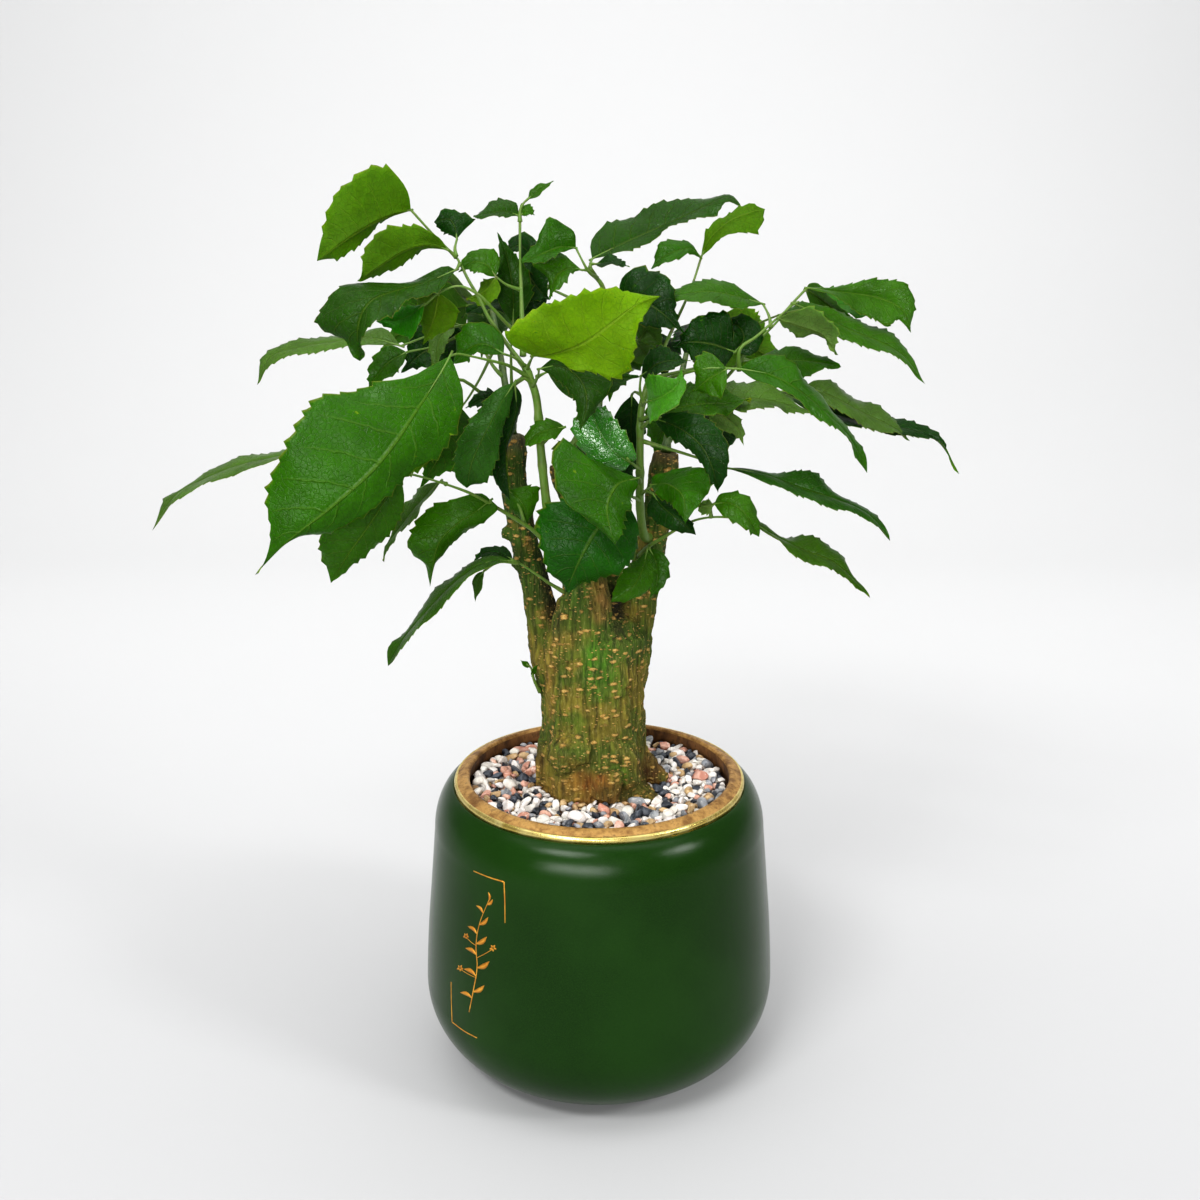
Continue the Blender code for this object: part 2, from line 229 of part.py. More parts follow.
        ([(514, 561, -36), (485, 563, -39), (458, 580, -41), (432, 606, -41), (405, 638, -39), (389, 666, -36)], [(500, 563), (478, 573), (457, 591), (432, 616), (408, 643), (394, 658)], -7, [(498, 556), (475, 560), (450, 579), (428, 601), (404, 633), (391, 648)], 7, "sage2", 1),
        ([(514, 560, -35), (500, 553, -31), (486, 553, -29), (472, 564, -28)], 7, 50, 14, "dark"),
        ([(485, 571, -38), (480, 580, -38), (476, 602, -36)], 5, 30, 14, "sage2")]),
    "side_sprout": ([([(541, 692, -6), (535, 680, -8), (532, 668, -9), (527, 664, -9)], 0.0)], [
        ([(531, 667, -9), (526, 664, -9), (521, 660, -9)], 3, 30, 12, "mid"),
        ([(533, 676, -8), (536, 668, -10), (540, 664, -11)], 2.5, 30, 12, "mid")]),
    # the far side of the crown
    "leaf_back_a": ([([(491, 310, 54), (480, 305, 64), (470, 305, 72)], 2.0)], [
        ([(470, 305, 72), (440, 312, 84), (405, 330, 92), (380, 352, 92)], 30, 60, 10, "dark"),
        ([(478, 300, 67), (462, 296, 84), (448, 298, 104), (440, 312, 120)], 28, 40, 10, "mid")]),
    "leaf_back_b": ([([(499, 340, 40), (480, 380, 56), (460, 410, 66), (440, 425, 72)], 1.9)], [
        ([(440, 425, 72), (410, 440, 76), (370, 465, 78), (340, 500, 74)], 32, 52, 10, "mid"),
        ([(462, 407, 65), (452, 430, 76), (438, 460, 84), (420, 490, 84)], 28, 30, 10, "dark")]),
    "leaf_back_c": ([([(490, 299, 59.5), (497, 295, 76), (510, 296, 98)], 0.6)], [
        ([(510, 296, 98), (520, 300, 114), (528, 318, 128), (530, 342, 134)], 32, 4, -14, "dark"),
        ([(505, 298, 88), (492, 310, 104), (484, 335, 116), (482, 360, 118)], 26, 20, -14, "mid")]),
    "leaf_back_d": ([([(606, 329, 91), (600, 325, 98), (590, 322, 106)], 0.8)], [
        ([(590, 322, 106), (575, 325, 122), (562, 342, 136), (556, 368, 142)], 34, 14, -14, "mid"),
        ([(597, 325, 101), (603, 318, 118), (610, 318, 138), (616, 330, 154)], 30, 0, -14, "dark")]),
    "leaf_back_e": ([([(604, 362, 75), (617, 358, 80), (628, 344, 92), (636, 336, 102)], 2.6)], [
        ([(636, 336, 102), (650, 340, 116), (662, 356, 128), (668, 380, 132)], 32, -10, -14, "dark"),
        ([(628, 344, 92), (618, 352, 108), (612, 374, 120), (610, 402, 124)], 28, 4, -14, "mid")]),
    "leaf_back_f": ([([(600, 420, 53), (600, 430, 70), (596, 438, 84)], 2.4)], [
        ([(596, 438, 84), (585, 448, 98), (578, 470, 108), (576, 500, 108)], 30, 8, -14, "mid"),
        ([(598, 434, 78), (612, 446, 94), (620, 470, 104), (622, 500, 104)], 28, -8, -14, "dark")]),
    "leaf_back_g": ([([(694, 321, 65), (704, 317, 72), (716, 318, 80)], 0.8)], [
        ([(716, 318, 80), (738, 338, 90), (762, 352, 98), (788, 372, 98)], 30, -58, 10, "mid"),
        ([(706, 318, 74), (704, 326, 94), (706, 344, 112), (712, 368, 120)], 30, -6, -14, "dark")]),
    "leaf_back_h": ([([(682, 378, 39), (692, 396, 56), (700, 408, 68)], 2.2)], [
        ([(700, 408, 68), (712, 422, 80), (716, 444, 88), (712, 470, 88)], 28, -8, -14, "dark"),
        ([(692, 396, 56), (676, 410, 72), (662, 434, 82), (654, 462, 84)], 28, 14, -14, "mid")]),
}


# ---- materials ----
def material(name, colour, rough, metallic=0.0):
    m = bpy.data.materials.new(name)
    m.use_nodes = True
    b = m.node_tree.nodes["Principled BSDF"]
    b.inputs["Base Color"].default_value = (*colour, 1.0)
    b.inputs["Roughness"].default_value = rough
    b.inputs["Metallic"].default_value = metallic
    m.diffuse_color = (*colour, 1.0)
    return m


GLAZE = material("green_glaze", (0.012, 0.055, 0.022), 0.35)
SOIL = material("soil", (0.045, 0.03, 0.02), 0.95)
STONE = material("gravel", (0.45, 0.42, 0.39), 0.7)
BARK = material("bark", (0.13, 0.12, 0.045), 0.85)
SHOOT = material("green_shoot", (0.07, 0.16, 0.02), 0.5)
TINTS = {
    "dark": (0.012, 0.06, 0.012), "dark2": (0.02, 0.08, 0.015), "mid": (0.03, 0.12, 0.012),
    "bright": (0.05, 0.2, 0.01), "lit": (0.1, 0.22, 0.01), "backlit": (0.2, 0.36, 0.02),
    "sheen": (0.03, 0.1, 0.04), "sage": (0.08, 0.16, 0.06), "sage2": (0.06, 0.13, 0.05),
    "grey": (0.1, 0.15, 0.08), "olive": (0.06, 0.11, 0.015), "olive2": (0.05, 0.12, 0.01),
    "blue": (0.03, 0.1, 0.06), "gloss": (0.04, 0.16, 0.03), "pale": (0.12, 0.3, 0.1),
    "front_dark": (0.02, 0.1, 0.02)}
LEAF_MATS = {k: material("leaf_" + k, v, 0.45) for k, v in TINTS.items()}


def mesh_object(name, verts, faces, mat):
    me = bpy.data.meshes.new(name)
    me.from_pydata([tuple(c * MM for c in v) for v in verts], [], faces)
    me.update()
    me.materials.append(mat)
    ob = bpy.data.objects.new(name, me)
    bpy.context.scene.collection.objects.link(ob)
    return ob


def outward(ob):
    """Turn every face of a closed solid outward."""
    bm = bmesh.new()
    bm.from_mesh(ob.data)
    if bm.calc_volume(signed=True) < 0:
        bmesh.ops.reverse_faces(bm, faces=bm.faces)
    bm.to_mesh(ob.data)
    bm.free()
    return ob


def smooth(ob, angle=40):
    ob.data.shade_smooth()
    ob.data.set_sharp_from_angle(angle=math.radians(angle))
    return ob


def sound(me):
    """True when a mesh is one closed body facing out."""
    if not me.polygons:
        return False
    bm = bmesh.new()
    bm.from_mesh(me)
    good = all(len(e.link_faces) == 2 for e in bm.edges) and bm.calc_volume(signed=True) > 0
    bm.faces.ensure_lookup_table()
    seen, stack = {0}, [bm.faces[0]]
    while stack:
        for e in stack.pop().edges:
            for f in e.link_faces:
                if f.index not in seen:
                    seen.add(f.index)
                    stack.append(f)
    good = good and len(seen) == len(bm.faces)
    bm.free()
    return good


NUDGES = [(0, 0, 0), (0.031, 0.017, 0.023), (-0.027, 0.022, -0.019), (0.018, -0.033, 0.041), (-0.043, -0.029, 0.012),
          (0.053, 0.031, -0.047), (-0.061, 0.044, 0.038), (0.022, -0.067, -0.058)]


def measure(me):
    """Signed volume in mm3 and the two corners in mm."""
    bm = bmesh.new()
    bm.from_mesh(me)
    v = bm.calc_volume(signed=True) / MM ** 3
    lo = [min(q.co[k] for q in bm.verts) / MM for k in range(3)] if bm.verts else [0, 0, 0]
    hi = [max(q.co[k] for q in bm.verts) / MM for k in range(3)] if bm.verts else [0, 0, 0]
    bm.free()
    return v, lo, hi


def boolean(base, other, operation):
    """One exact Boolean.  If two faces happen to lie too close, the second solid is nudged a hair."""
    keep = base.data.copy()
    va, la, ha = measure(base.data)
    vb, lb, hb = measure(other.data)

    def whole(me):
        """Nothing that should be there is lost."""
        v, lo, hi = measure(me)
        if operation == 'DIFFERENCE':
            return va - vb * 1.001 - 1.0 < v < va - 1.0
        return (v > max(va, vb) * 0.995 and v < (va + vb) * 1.001
                and all(lo[k] < min(la[k], lb[k]) + 0.12 and hi[k] > max(ha[k], hb[k]) - 0.12 for k in range(3)))

    for k, nudge in enumerate(NUDGES + [(0, 0, 0)]):
        other.location = Vector(nudge) * MM
        bpy.context.view_layer.update()
        mod = base.modifiers.new("step", 'BOOLEAN')
        mod.operation, mod.object = operation, other
        mod.solver = 'EXACT' if k < len(NUDGES) else 'MANIFOLD'
        base = bake(base)
        if (sound(base.data) and whole(base.data)) or k == len(NUDGES):
            break
        old, base.data = base.data, keep.copy()
        bpy.data.meshes.remove(old)
    bpy.data.meshes.remove(keep)
    bpy.data.objects.remove(other, do_unlink=True)
    return base


def union(name, parts, mat):
    """Join solids that overlap into one body with exact Boolean unions."""
    base = parts[0]
    for other in parts[1:]:
        base = boolean(base, other, 'UNION')
    # flat faces that the unions have split are put together again
    bm = bmesh.new()
    bm.from_mesh(base.data)
    bmesh.ops.dissolve_limit(bm, angle_limit=math.radians(0.4), verts=bm.verts, edges=bm.edges)
    bmesh.ops.triangulate(bm, faces=bm.faces)
    tidy = bpy.data.meshes.new(name)
    bm.to_mesh(tidy)
    bm.free()
    if sound(tidy):
        base.data = tidy
    base.name = name
    base.data.name = name
    base.data.materials.clear()
    base.data.materials.append(mat)
    return base


def bake(ob):
    """Apply an object's modifiers and tidy the result."""
    dep = bpy.context.evaluated_depsgraph_get()
    me = bpy.data.meshes.new_from_object(ob.evaluated_get(dep))
    ob.modifiers.clear()
    old, ob.data = ob.data, me
    bpy.data.meshes.remove(old)
    bm = bmesh.new()
    bm.from_mesh(me)
    bmesh.ops.remove_doubles(bm, verts=bm.verts, dist=0.000002)
    bmesh.ops.dissolve_degenerate(bm, edges=bm.edges, dist=0.000002)
    bmesh.ops.triangulate(bm, faces=bm.faces)
    bm.to_mesh(me)
    bm.free()
    return ob


def cut(ob, cutter):
    return boolean(ob, cutter, 'DIFFERENCE')


def tube(name, pts, r0, r1, sides, mat, n=None, grow=0.0, radii=None):
    """A capped tube along a smooth curve.  Its rings keep one orientation along the curve."""
    n = n or max(2, 2 * (len(pts) - 1))
    c = path(pts, n)
    if grow:
        c[0] = c[0] + (c[0] - c[1]).normalized() * grow
        c[-1] = c[-1] + (c[-1] - c[-2]).normalized() * grow
    t = (c[1] - c[0]).normalized()
    ref = t.cross(Vector((0.31, 0.86, 0.41)) if abs(t.x) > 0.5 else Vector((1.0, 0.1, 0.2)))
    verts, faces = [], []
    for i, p in enumerate(c):
        t = (c[min(i + 1, n)] - c[max(i - 1, 0)]).normalized()
        a = (ref - t * t.dot(ref)).normalized()
        ref = a
        b = t.cross(a)
        f = i / n
        if radii:
            g = f * (len(radii) - 1)
            k = min(int(g), len(radii) - 2)
            r = radii[k] + (radii[k + 1] - radii[k]) * (g - k)
        else:
            r = r0 + (r1 - r0) * f
        r += grow
        for s in range(sides):
            w = 2 * math.pi * (s + 0.5) / sides
            verts.append(p + a * (r * math.cos(w)) + b * (r * math.sin(w)))
    for i in range(n):
        for s in range(sides):
            t = (s + 1) % sides
            faces.append((i * sides + s, i * sides + t, (i + 1) * sides + t, (i + 1) * sides + s))
    faces.append(tuple(reversed(range(sides))))
    faces.append(tuple(n * sides + s for s in range(sides)))
    ob = mesh_object(name, verts, faces, mat)
    return outward(ob)


def trimmed(pts, dist):
    """The same points with the first stretch of length dist taken off."""
    pts = [Vector(p) for p in pts]
    while dist > 0 and len(pts) > 1:
        step = pts[1] - pts[0]
        if step.length > dist:
            pts[0] = pts[0] + step * (dist / step.length)
            break
        dist -= step.length
        pts.pop(0)
    return pts


OUTLINE = [(0.0, 0.0), (0.07, 0.34), (0.15, 0.7), (0.25, 0.94), (0.34, 1.0), (0.46, 0.93), (0.6, 0.7),
           (0.73, 0.42), (0.84, 0.2), (0.92, 0.09), (1.0, 0.0)]


def half_width(s):
    for (a, u), (b, v) in zip(OUTLINE, OUTLINE[1:]):
        if s <= b:
            return u + (v - u) * (s - a) / (b - a)
    return 0.0


BACK_FACING = Vector((0.0, 0.35, 1.0))
STATIONS = (0.0, 0.15, 0.36, 0.6, 0.84, 1.0)
SHORT_STATIONS = (0.0, 0.15, 0.35, 0.6, 0.825, 1.0)
LONG_STATIONS = (0.0, 0.1, 0.25, 0.425, 0.6, 0.75, 0.9, 1.0)


def edge_line(c, places, back, n):
    """Edge of an outlined blade: through the places, lying back mm behind the midrib c at mid length."""
    m = len(c) - 1
    pts = [c[0]]
    for k, (x, y) in enumerate(places):
        f = (k + 1) / (len(places) + 1)
        pts.append(P(x, y, c[int(round(f * m))].y + back * math.sin(math.pi * f)))
    return path(pts + [c[-1]], n)


def skin(name, rows, verts, mat):
    """Close rows of four corners, with one corner at each end, into a body."""
    faces = []
    a = rows[0][0]
    for (x, y) in ((0, 1), (1, 2), (2, 3), (3, 0)):
        faces.append((a, rows[1][x], rows[1][y]))
    # both faces of each half are split along the same diagonal, so a twisted half keeps its thickness
    for r, q in zip(rows[1:-2], rows[2:-1]):
        for (x, y) in ((0, 1), (1, 2)):
            faces.append((r[x], q[x], q[y]))
            faces.append((r[x], q[y], r[y]))
        for (x, y) in ((2, 3), (3, 0)):
            faces.append((r[x], q[x], r[y]))
            faces.append((q[x], q[y], r[y]))
    a = rows[-1][0]
    for (x, y) in ((0, 1), (1, 2), (2, 3), (3, 0)):
        faces.append((a, rows[-2][y], rows[-2][x]))
    return outward(mesh_object(name, verts, faces, mat))


def outlined(name, pts, left, left_back, right, right_back, mat):
    """A leaf blade between two drawn edges: a thin closed solid folded along its midrib."""
    c = path(pts, 40)
    a, b = edge_line(c, left, left_back, 40), edge_line(c, right, right_back, 40)
    long = max(len(left), len(right)) > 4
    verts, rows = [], []
    for s in (LONG_STATIONS if long else SHORT_STATIONS):
        i = int(round(s * 40))
        p = c[i]
        if s in (0.0, 1.0):
            rows.append([len(verts)])
            verts.append(p)
            continue
        t = (c[i + 1] - c[i - 1]).normalized()
        up = (t.cross((a[i] - p).normalized()) + (b[i] - p).normalized().cross(t)).normalized() * BLADE_T
        k = len(verts)
        verts += [a[i], p + up, b[i], p - up]
        rows.append([k, k + 1, k + 2, k + 3])
    return skin(name, rows, verts, mat)


def blade(name, pts, width, roll, fold, mat, facing=None):
    """A leaf blade: a thin closed solid folded along its midrib.  At roll 0 it faces the eye point,
    or its base faces the direction facing and the rest follows without twisting."""
    c = path(pts, 24)
    if not isinstance(roll, tuple):
        roll = (roll, roll)
    fo = math.radians(fold)
    verts, rows, side = [], [], None
    for s in STATIONS:
        i = int(round(s * 24))
        p = c[i]
        t = (c[min(i + 1, 24)] - c[max(i - 1, 0)]).normalized()
        w = facing or (Vector(EYE) - p).normalized()
        n = (side - t * side.dot(t) if facing and side else w.cross(t)).normalized()
        if side and n.dot(side) < 0:
            n = -n
        side = n
        w = t.cross(n)
        ro = math.radians(roll[0] + (roll[1] - roll[0]) * s)
        h = half_width(s) * width / 2
        if s in (0.0, 1.0):
            rows.append([len(verts)])
            verts.append(p)
            continue
        up = (w * math.cos(ro) - n * math.sin(ro)) * (BLADE_T if fold >= 0 else -BLADE_T)
        # on the inside of a bend the half blade stays narrower than the bend's radius
        a, b = c[max(i - 3, 0)], c[min(i + 3, 24)]
        bend = ((b - p).normalized() - (p - a).normalized()) / (0.5 * (b - a).length)
        left = n * math.cos(ro + fo) + w * math.sin(ro + fo)
        right = -(n * math.cos(ro - fo) + w * math.sin(ro - fo))
        left = p + left * min(h, 0.7 / max(1e-6, bend.dot(left)))
        right = p + right * min(h, 0.7 / max(1e-6, bend.dot(right)))
        k = len(verts)
        verts += [left, p + up, right, p - up]
        rows.append([k, k + 1, k + 2, k + 3])
    return skin(name, rows, verts, mat)


# ---- pot, soil and gravel: turned profiles ----
def superarc(r0, z0, dr, dz, power, n, down):
    """Points of a superellipse quarter from (r0 + dr, z0) to (r0, z0 +- dz)."""
    out = []
    for i in range(n + 1):
        a = math.pi / 2 * i / n
        out.append((r0 + dr * math.cos(a) ** (2 / power), z0 + (-dz if down else dz) * math.sin(a) ** (2 / power)))
    return out


def turned(name, profile, mat, steps):
    """Turn a closed half profile (r, z), listed down the outer side, about Z."""
    me = bpy.data.meshes.new(name)
    me.from_pydata([(r * MM, 0.0, z * MM) for r, z in profile], [(i, i + 1) for i in range(len(profile) - 1)], [])
    me.materials.append(mat)
    ob = bpy.data.objects.new(name, me)
    bpy.context.scene.collection.objects.link(ob)
    mod = ob.modifiers.new("turn", 'SCREW')
    mod.steps = mod.render_steps = steps
    mod.use_merge_vertices = True
    mod.merge_threshold = 0.00001
    mod.use_smooth_shade = True
    return ob


shoulder = superarc(RIM_R, SHOULDER_Z, SHOULDER_R - RIM_R, POT_H - RIM_H - SHOULDER_Z, 1.8, 6, False)[::-1]
belly = superarc(FOOT_R, POT_BELLY_Z, POT_R - FOOT_R, POT_BELLY_Z, 2.1, 7, True)
outer = ([(RIM_R - 0.7, POT_H), (RIM_R, POT_H - 0.7)] + shoulder
         + [(76.5, 86.0), (78.6, 62.0)] + belly)
neck = [(MOUTH_R, POT_H - 0.7), (MOUTH_R + 0.3, 129.0), (61.5, 122.0), (66.0, 113.0), (69.2, 101.0)]
cavity = neck + [(POT_R - WALL - 2.0, 72.0), (POT_R - WALL, 40.0), (70.5, 22.0), (58.0, 10.0), (40.0, 6.0)]
pot = turned("pot", [(MOUTH_R + 0.7, POT_H)] + outer + [(0.0, 0.0)], GLAZE, 44)
inner = turned("inner", [(0.0, POT_H + 5.0), (MOUTH_R + 0.7 + 5.7, POT_H + 5.0), (MOUTH_R + 0.7, POT_H)] + cavity + [(0.0, 6.0)], GLAZE, 44)
# the pot's own wall: the outside solid, then the cavity cut out of it
pot.data.clear_geometry()
solid = [(0.0, POT_H)] + outer + [(0.0, 0.0)]
pot.data.from_pydata([(r * MM, 0.0, z * MM) for r, z in solid], [(i, i + 1) for i in range(len(solid) - 1)], [])
pot = bake(pot)
inner = bake(inner)
pot = cut(pot, inner)
smooth(pot, 35)

wall = [(r - GAP, z) for r, z in cavity if z < SOIL_TOP - 0.5]
soil = bake(turned("soil", [(0.0, SOIL_TOP), (61.0 - GAP, SOIL_TOP)] + wall[:-1] + [(40.0, 6.0 + GAP), (0.0, 6.0 + GAP)], SOIL, 28))
gravel = bake(turned("gravel", [(0.0, GRAVEL_TOP + 0.9), (38.0, GRAVEL_TOP + 0.5), (MOUTH_R - 0.2 + 0.3 - GAP, GRAVEL_TOP - 0.6),
                                (60.9 - GAP, SOIL_TOP + GAP), (0.0, SOIL_TOP + GAP)], STONE, 40))


# ---- trunk with its branches and roots ----
def trunk_solid(grow, roots=True):
    verts, faces = [], []
    n = 18
    for x, y, z, a, b in TRUNK:
        z = z - grow if z == TRUNK[0][2] else z
        for s in range(n):
            w = 2 * math.pi * s / n
            rib = 1.0 + 0.018 * math.sin(5 * w + 0.4) + 0.012 * math.sin(9 * w + z * 0.02)
            verts.append((x + (a * rib + grow) * math.cos(w), y + (b * rib + grow) * math.sin(w), z))
    rings = len(TRUNK)
    for i in range(rings - 1):
        for s in range(n):
            t = (s + 1) % n
            faces.append((i * n + s, i * n + t, (i + 1) * n + t, (i + 1) * n + s))
    faces.append(tuple(reversed(range(n))))
    faces.append(tuple((rings - 1) * n + s for s in range(n)))
    parts = [mesh_object("stem", verts, faces, BARK)]
    for k, br in enumerate(BRANCHES if not grow else []):
        pts = [P(x, y, d) for x, y, d, r in br]
        parts.append(tube("branch", pts, 1, 1, 10, BARK, n=len(br), radii=[r for x, y, d, r in br]))
    for k, rt in enumerate(ROOTS):
        parts.append(tube("root", [Vector(q[:3]) for q in rt], 1, 1, 6, BARK, n=len(rt), grow=grow, radii=[q[3] for q in rt]))
    return parts


trunk = smooth(union("trunk", trunk_solid(0.0), BARK), 50)
for piece in (soil, gravel):
    for part in trunk_solid(GAP + 0.3):
        piece = cut(piece, part)
smooth(soil, 30)
smooth(gravel, 30)

# ---- green shoots ----
for name, (pts, r0, r1, trim) in STEMS.items():
    p = trimmed([P(*q) for q in pts], trim)
    smooth(tube(name, p, r0, r1, 6, SHOOT), 60)

# ---- leaves: stalks and leaflets joined into one body each ----
for name, (stalks, leaflets) in LEAVES.items():
    parts, axes = [], []
    for st in stalks:
        r0, r1 = (st[2], st[3]) if len(st) > 2 else (0.8, 0.5)
        p = trimmed([P(*q) for q in st[0]], st[1])
        axes.append(path(p, 40))
        parts.append(tube(name + "_stalk", p, r0, r1, 4, SHOOT, n=max(1, len(p) - 1) if len(p) > 3 else 2))
    for leaflet in leaflets:
        p = [P(*q) for q in leaflet[0]]
        if len(leaflet) == 7:
            mat = LEAF_MATS[leaflet[5]]
            b = outlined(name + "_blade", p, leaflet[1], leaflet[2], leaflet[3], leaflet[4], mat)
        else:
            mat = LEAF_MATS[leaflet[4]]
            b = blade(name + "_blade", p, leaflet[1], leaflet[2], leaflet[3], mat,
                      BACK_FACING if name.startswith("leaf_back") else None)
        near = min((q for a in axes for q in a), key=lambda q: (q - p[0]).length)
        c = path(p, 20)
        start = near if (near - c[0]).length > 0.2 else near - (c[1] - c[0]).normalized() * 0.4
        parts.append(tube(name + "_vein", [start, c[0].lerp(c[1], 0.6), c[3]], 0.7, 0.12, 3, SHOOT, n=2))
        parts.append(b)
    first = leaflets[0]
    smooth(union(name, parts, LEAF_MATS[first[5] if len(first) == 7 else first[4]]), 30)
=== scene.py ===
# Looks of the potted china doll plant.  The leaves, shoots, trunk, gravel and pot are made here in
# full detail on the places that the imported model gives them.  Lengths in the tables are mm.
import bpy
import bmesh
import json
import math
import random
from mathutils import Vector, Matrix, noise
from mathutils.bvhtree import BVHTree


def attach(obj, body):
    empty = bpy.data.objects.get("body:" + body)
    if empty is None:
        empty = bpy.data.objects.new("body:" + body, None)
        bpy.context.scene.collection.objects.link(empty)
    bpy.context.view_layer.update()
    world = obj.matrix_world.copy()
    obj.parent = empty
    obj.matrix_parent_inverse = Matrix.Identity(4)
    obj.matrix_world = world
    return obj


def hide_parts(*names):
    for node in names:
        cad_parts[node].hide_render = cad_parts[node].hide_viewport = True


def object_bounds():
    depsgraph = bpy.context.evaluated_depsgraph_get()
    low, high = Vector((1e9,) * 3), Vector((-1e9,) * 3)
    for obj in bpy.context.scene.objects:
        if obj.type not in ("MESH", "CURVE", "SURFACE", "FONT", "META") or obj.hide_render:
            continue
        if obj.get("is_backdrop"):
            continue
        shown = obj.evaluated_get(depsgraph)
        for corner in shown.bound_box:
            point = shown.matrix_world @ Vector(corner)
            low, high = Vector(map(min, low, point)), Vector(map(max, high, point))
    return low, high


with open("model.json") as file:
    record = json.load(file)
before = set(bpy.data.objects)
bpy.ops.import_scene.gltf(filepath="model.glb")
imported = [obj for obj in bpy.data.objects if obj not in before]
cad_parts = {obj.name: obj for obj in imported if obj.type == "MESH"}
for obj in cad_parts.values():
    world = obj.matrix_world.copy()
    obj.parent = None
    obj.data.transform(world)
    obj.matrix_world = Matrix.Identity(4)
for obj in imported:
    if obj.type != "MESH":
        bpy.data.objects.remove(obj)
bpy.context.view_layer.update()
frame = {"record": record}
BODY = "root"
MM = 0.001

# ---------------------------------------------------------------- camera
cam = bpy.data.objects.new("camera", bpy.data.cameras.new("camera"))
bpy.context.scene.collection.objects.link(cam)
cam.location = (0.0004, -0.542, 0.370)
cam.rotation_euler = (math.radians(74.0), 0.0, 0.0)
cam.data.sensor_width = 36.0
cam.data.lens = 39.0
cam.data.clip_start = 0.01
cam.data.clip_end = 20.0
bpy.context.scene.camera = cam
bpy.context.scene.view_settings.view_transform = 'Standard'
bpy.context.scene.view_settings.look = 'Medium High Contrast'

# ---------------------------------------------------------------- layout, as in the model
EYE = (0.0, -542.0, 370.0)
PITCH = math.radians(16.0)
FOCAL = 1300.0
SHEET = 600.0


def P(x, y, depth):
    """Point in mm seen at sheet place (x, y), at depth Y."""
    u, v = (x - SHEET) / FOCAL, (SHEET - y) / FOCAL
    d = Vector((u, math.cos(PITCH) + v * math.sin(PITCH), -math.sin(PITCH) + v * math.cos(PITCH)))
    return Vector(EYE) + d * ((depth - EYE[1]) / d.y)


def sheet_place(p):
    """Sheet place (x, y) of a point in mm."""
    d = Vector(p) - Vector(EYE)
    f = d.y * math.cos(PITCH) - d.z * math.sin(PITCH)
    v = d.y * math.sin(PITCH) + d.z * math.cos(PITCH)
    return SHEET + FOCAL * d.x / f, SHEET - FOCAL * v / f


def path(pts, n):
    """n + 1 points along a smooth curve through pts, evenly spaced."""
    p = [Vector(q) for q in pts]
    if len(p) == 2:
        dense = [p[0].lerp(p[1], i / 16) for i in range(17)]
    else:
        q = [p[0] * 2 - p[1]] + p + [p[-1] * 2 - p[-2]]
        dense = []
        for i in range(1, len(q) - 2):
            for k in range(16):
                t = k / 16
                a, b, c, d = q[i - 1], q[i], q[i + 1], q[i + 2]
                dense.append(0.5 * ((2 * b) + (c - a) * t + (2 * a - 5 * b + 4 * c - d) * t * t
                                    + (3 * b - a - 3 * c + d) * t * t * t))
        dense.append(p[-1])
    run = [0.0]
    for a, b in zip(dense, dense[1:]):
        run.append(run[-1] + (b - a).length)
    out, j = [], 0
    for i in range(n + 1):
        s = run[-1] * i / n
        while j < len(run) - 2 and run[j + 1] < s:
            j += 1
        f = (s - run[j]) / max(1e-9, run[j + 1] - run[j])
        out.append(dense[j].lerp(dense[j + 1], min(1.0, max(0.0, f))))
    return out


def smoothstep(a, b, x):
    t = min(1.0, max(0.0, (x - a) / (b - a)))
    return t * t * (3 - 2 * t)


def srgb(r, g, b):
    """Linear colour from 0..255 display values."""
    out = []
    for c in (r, g, b):
        c /= 255.0
        out.append(c / 12.92 if c <= 0.04045 else ((c + 0.055) / 1.055) ** 2.4)
    return tuple(out)


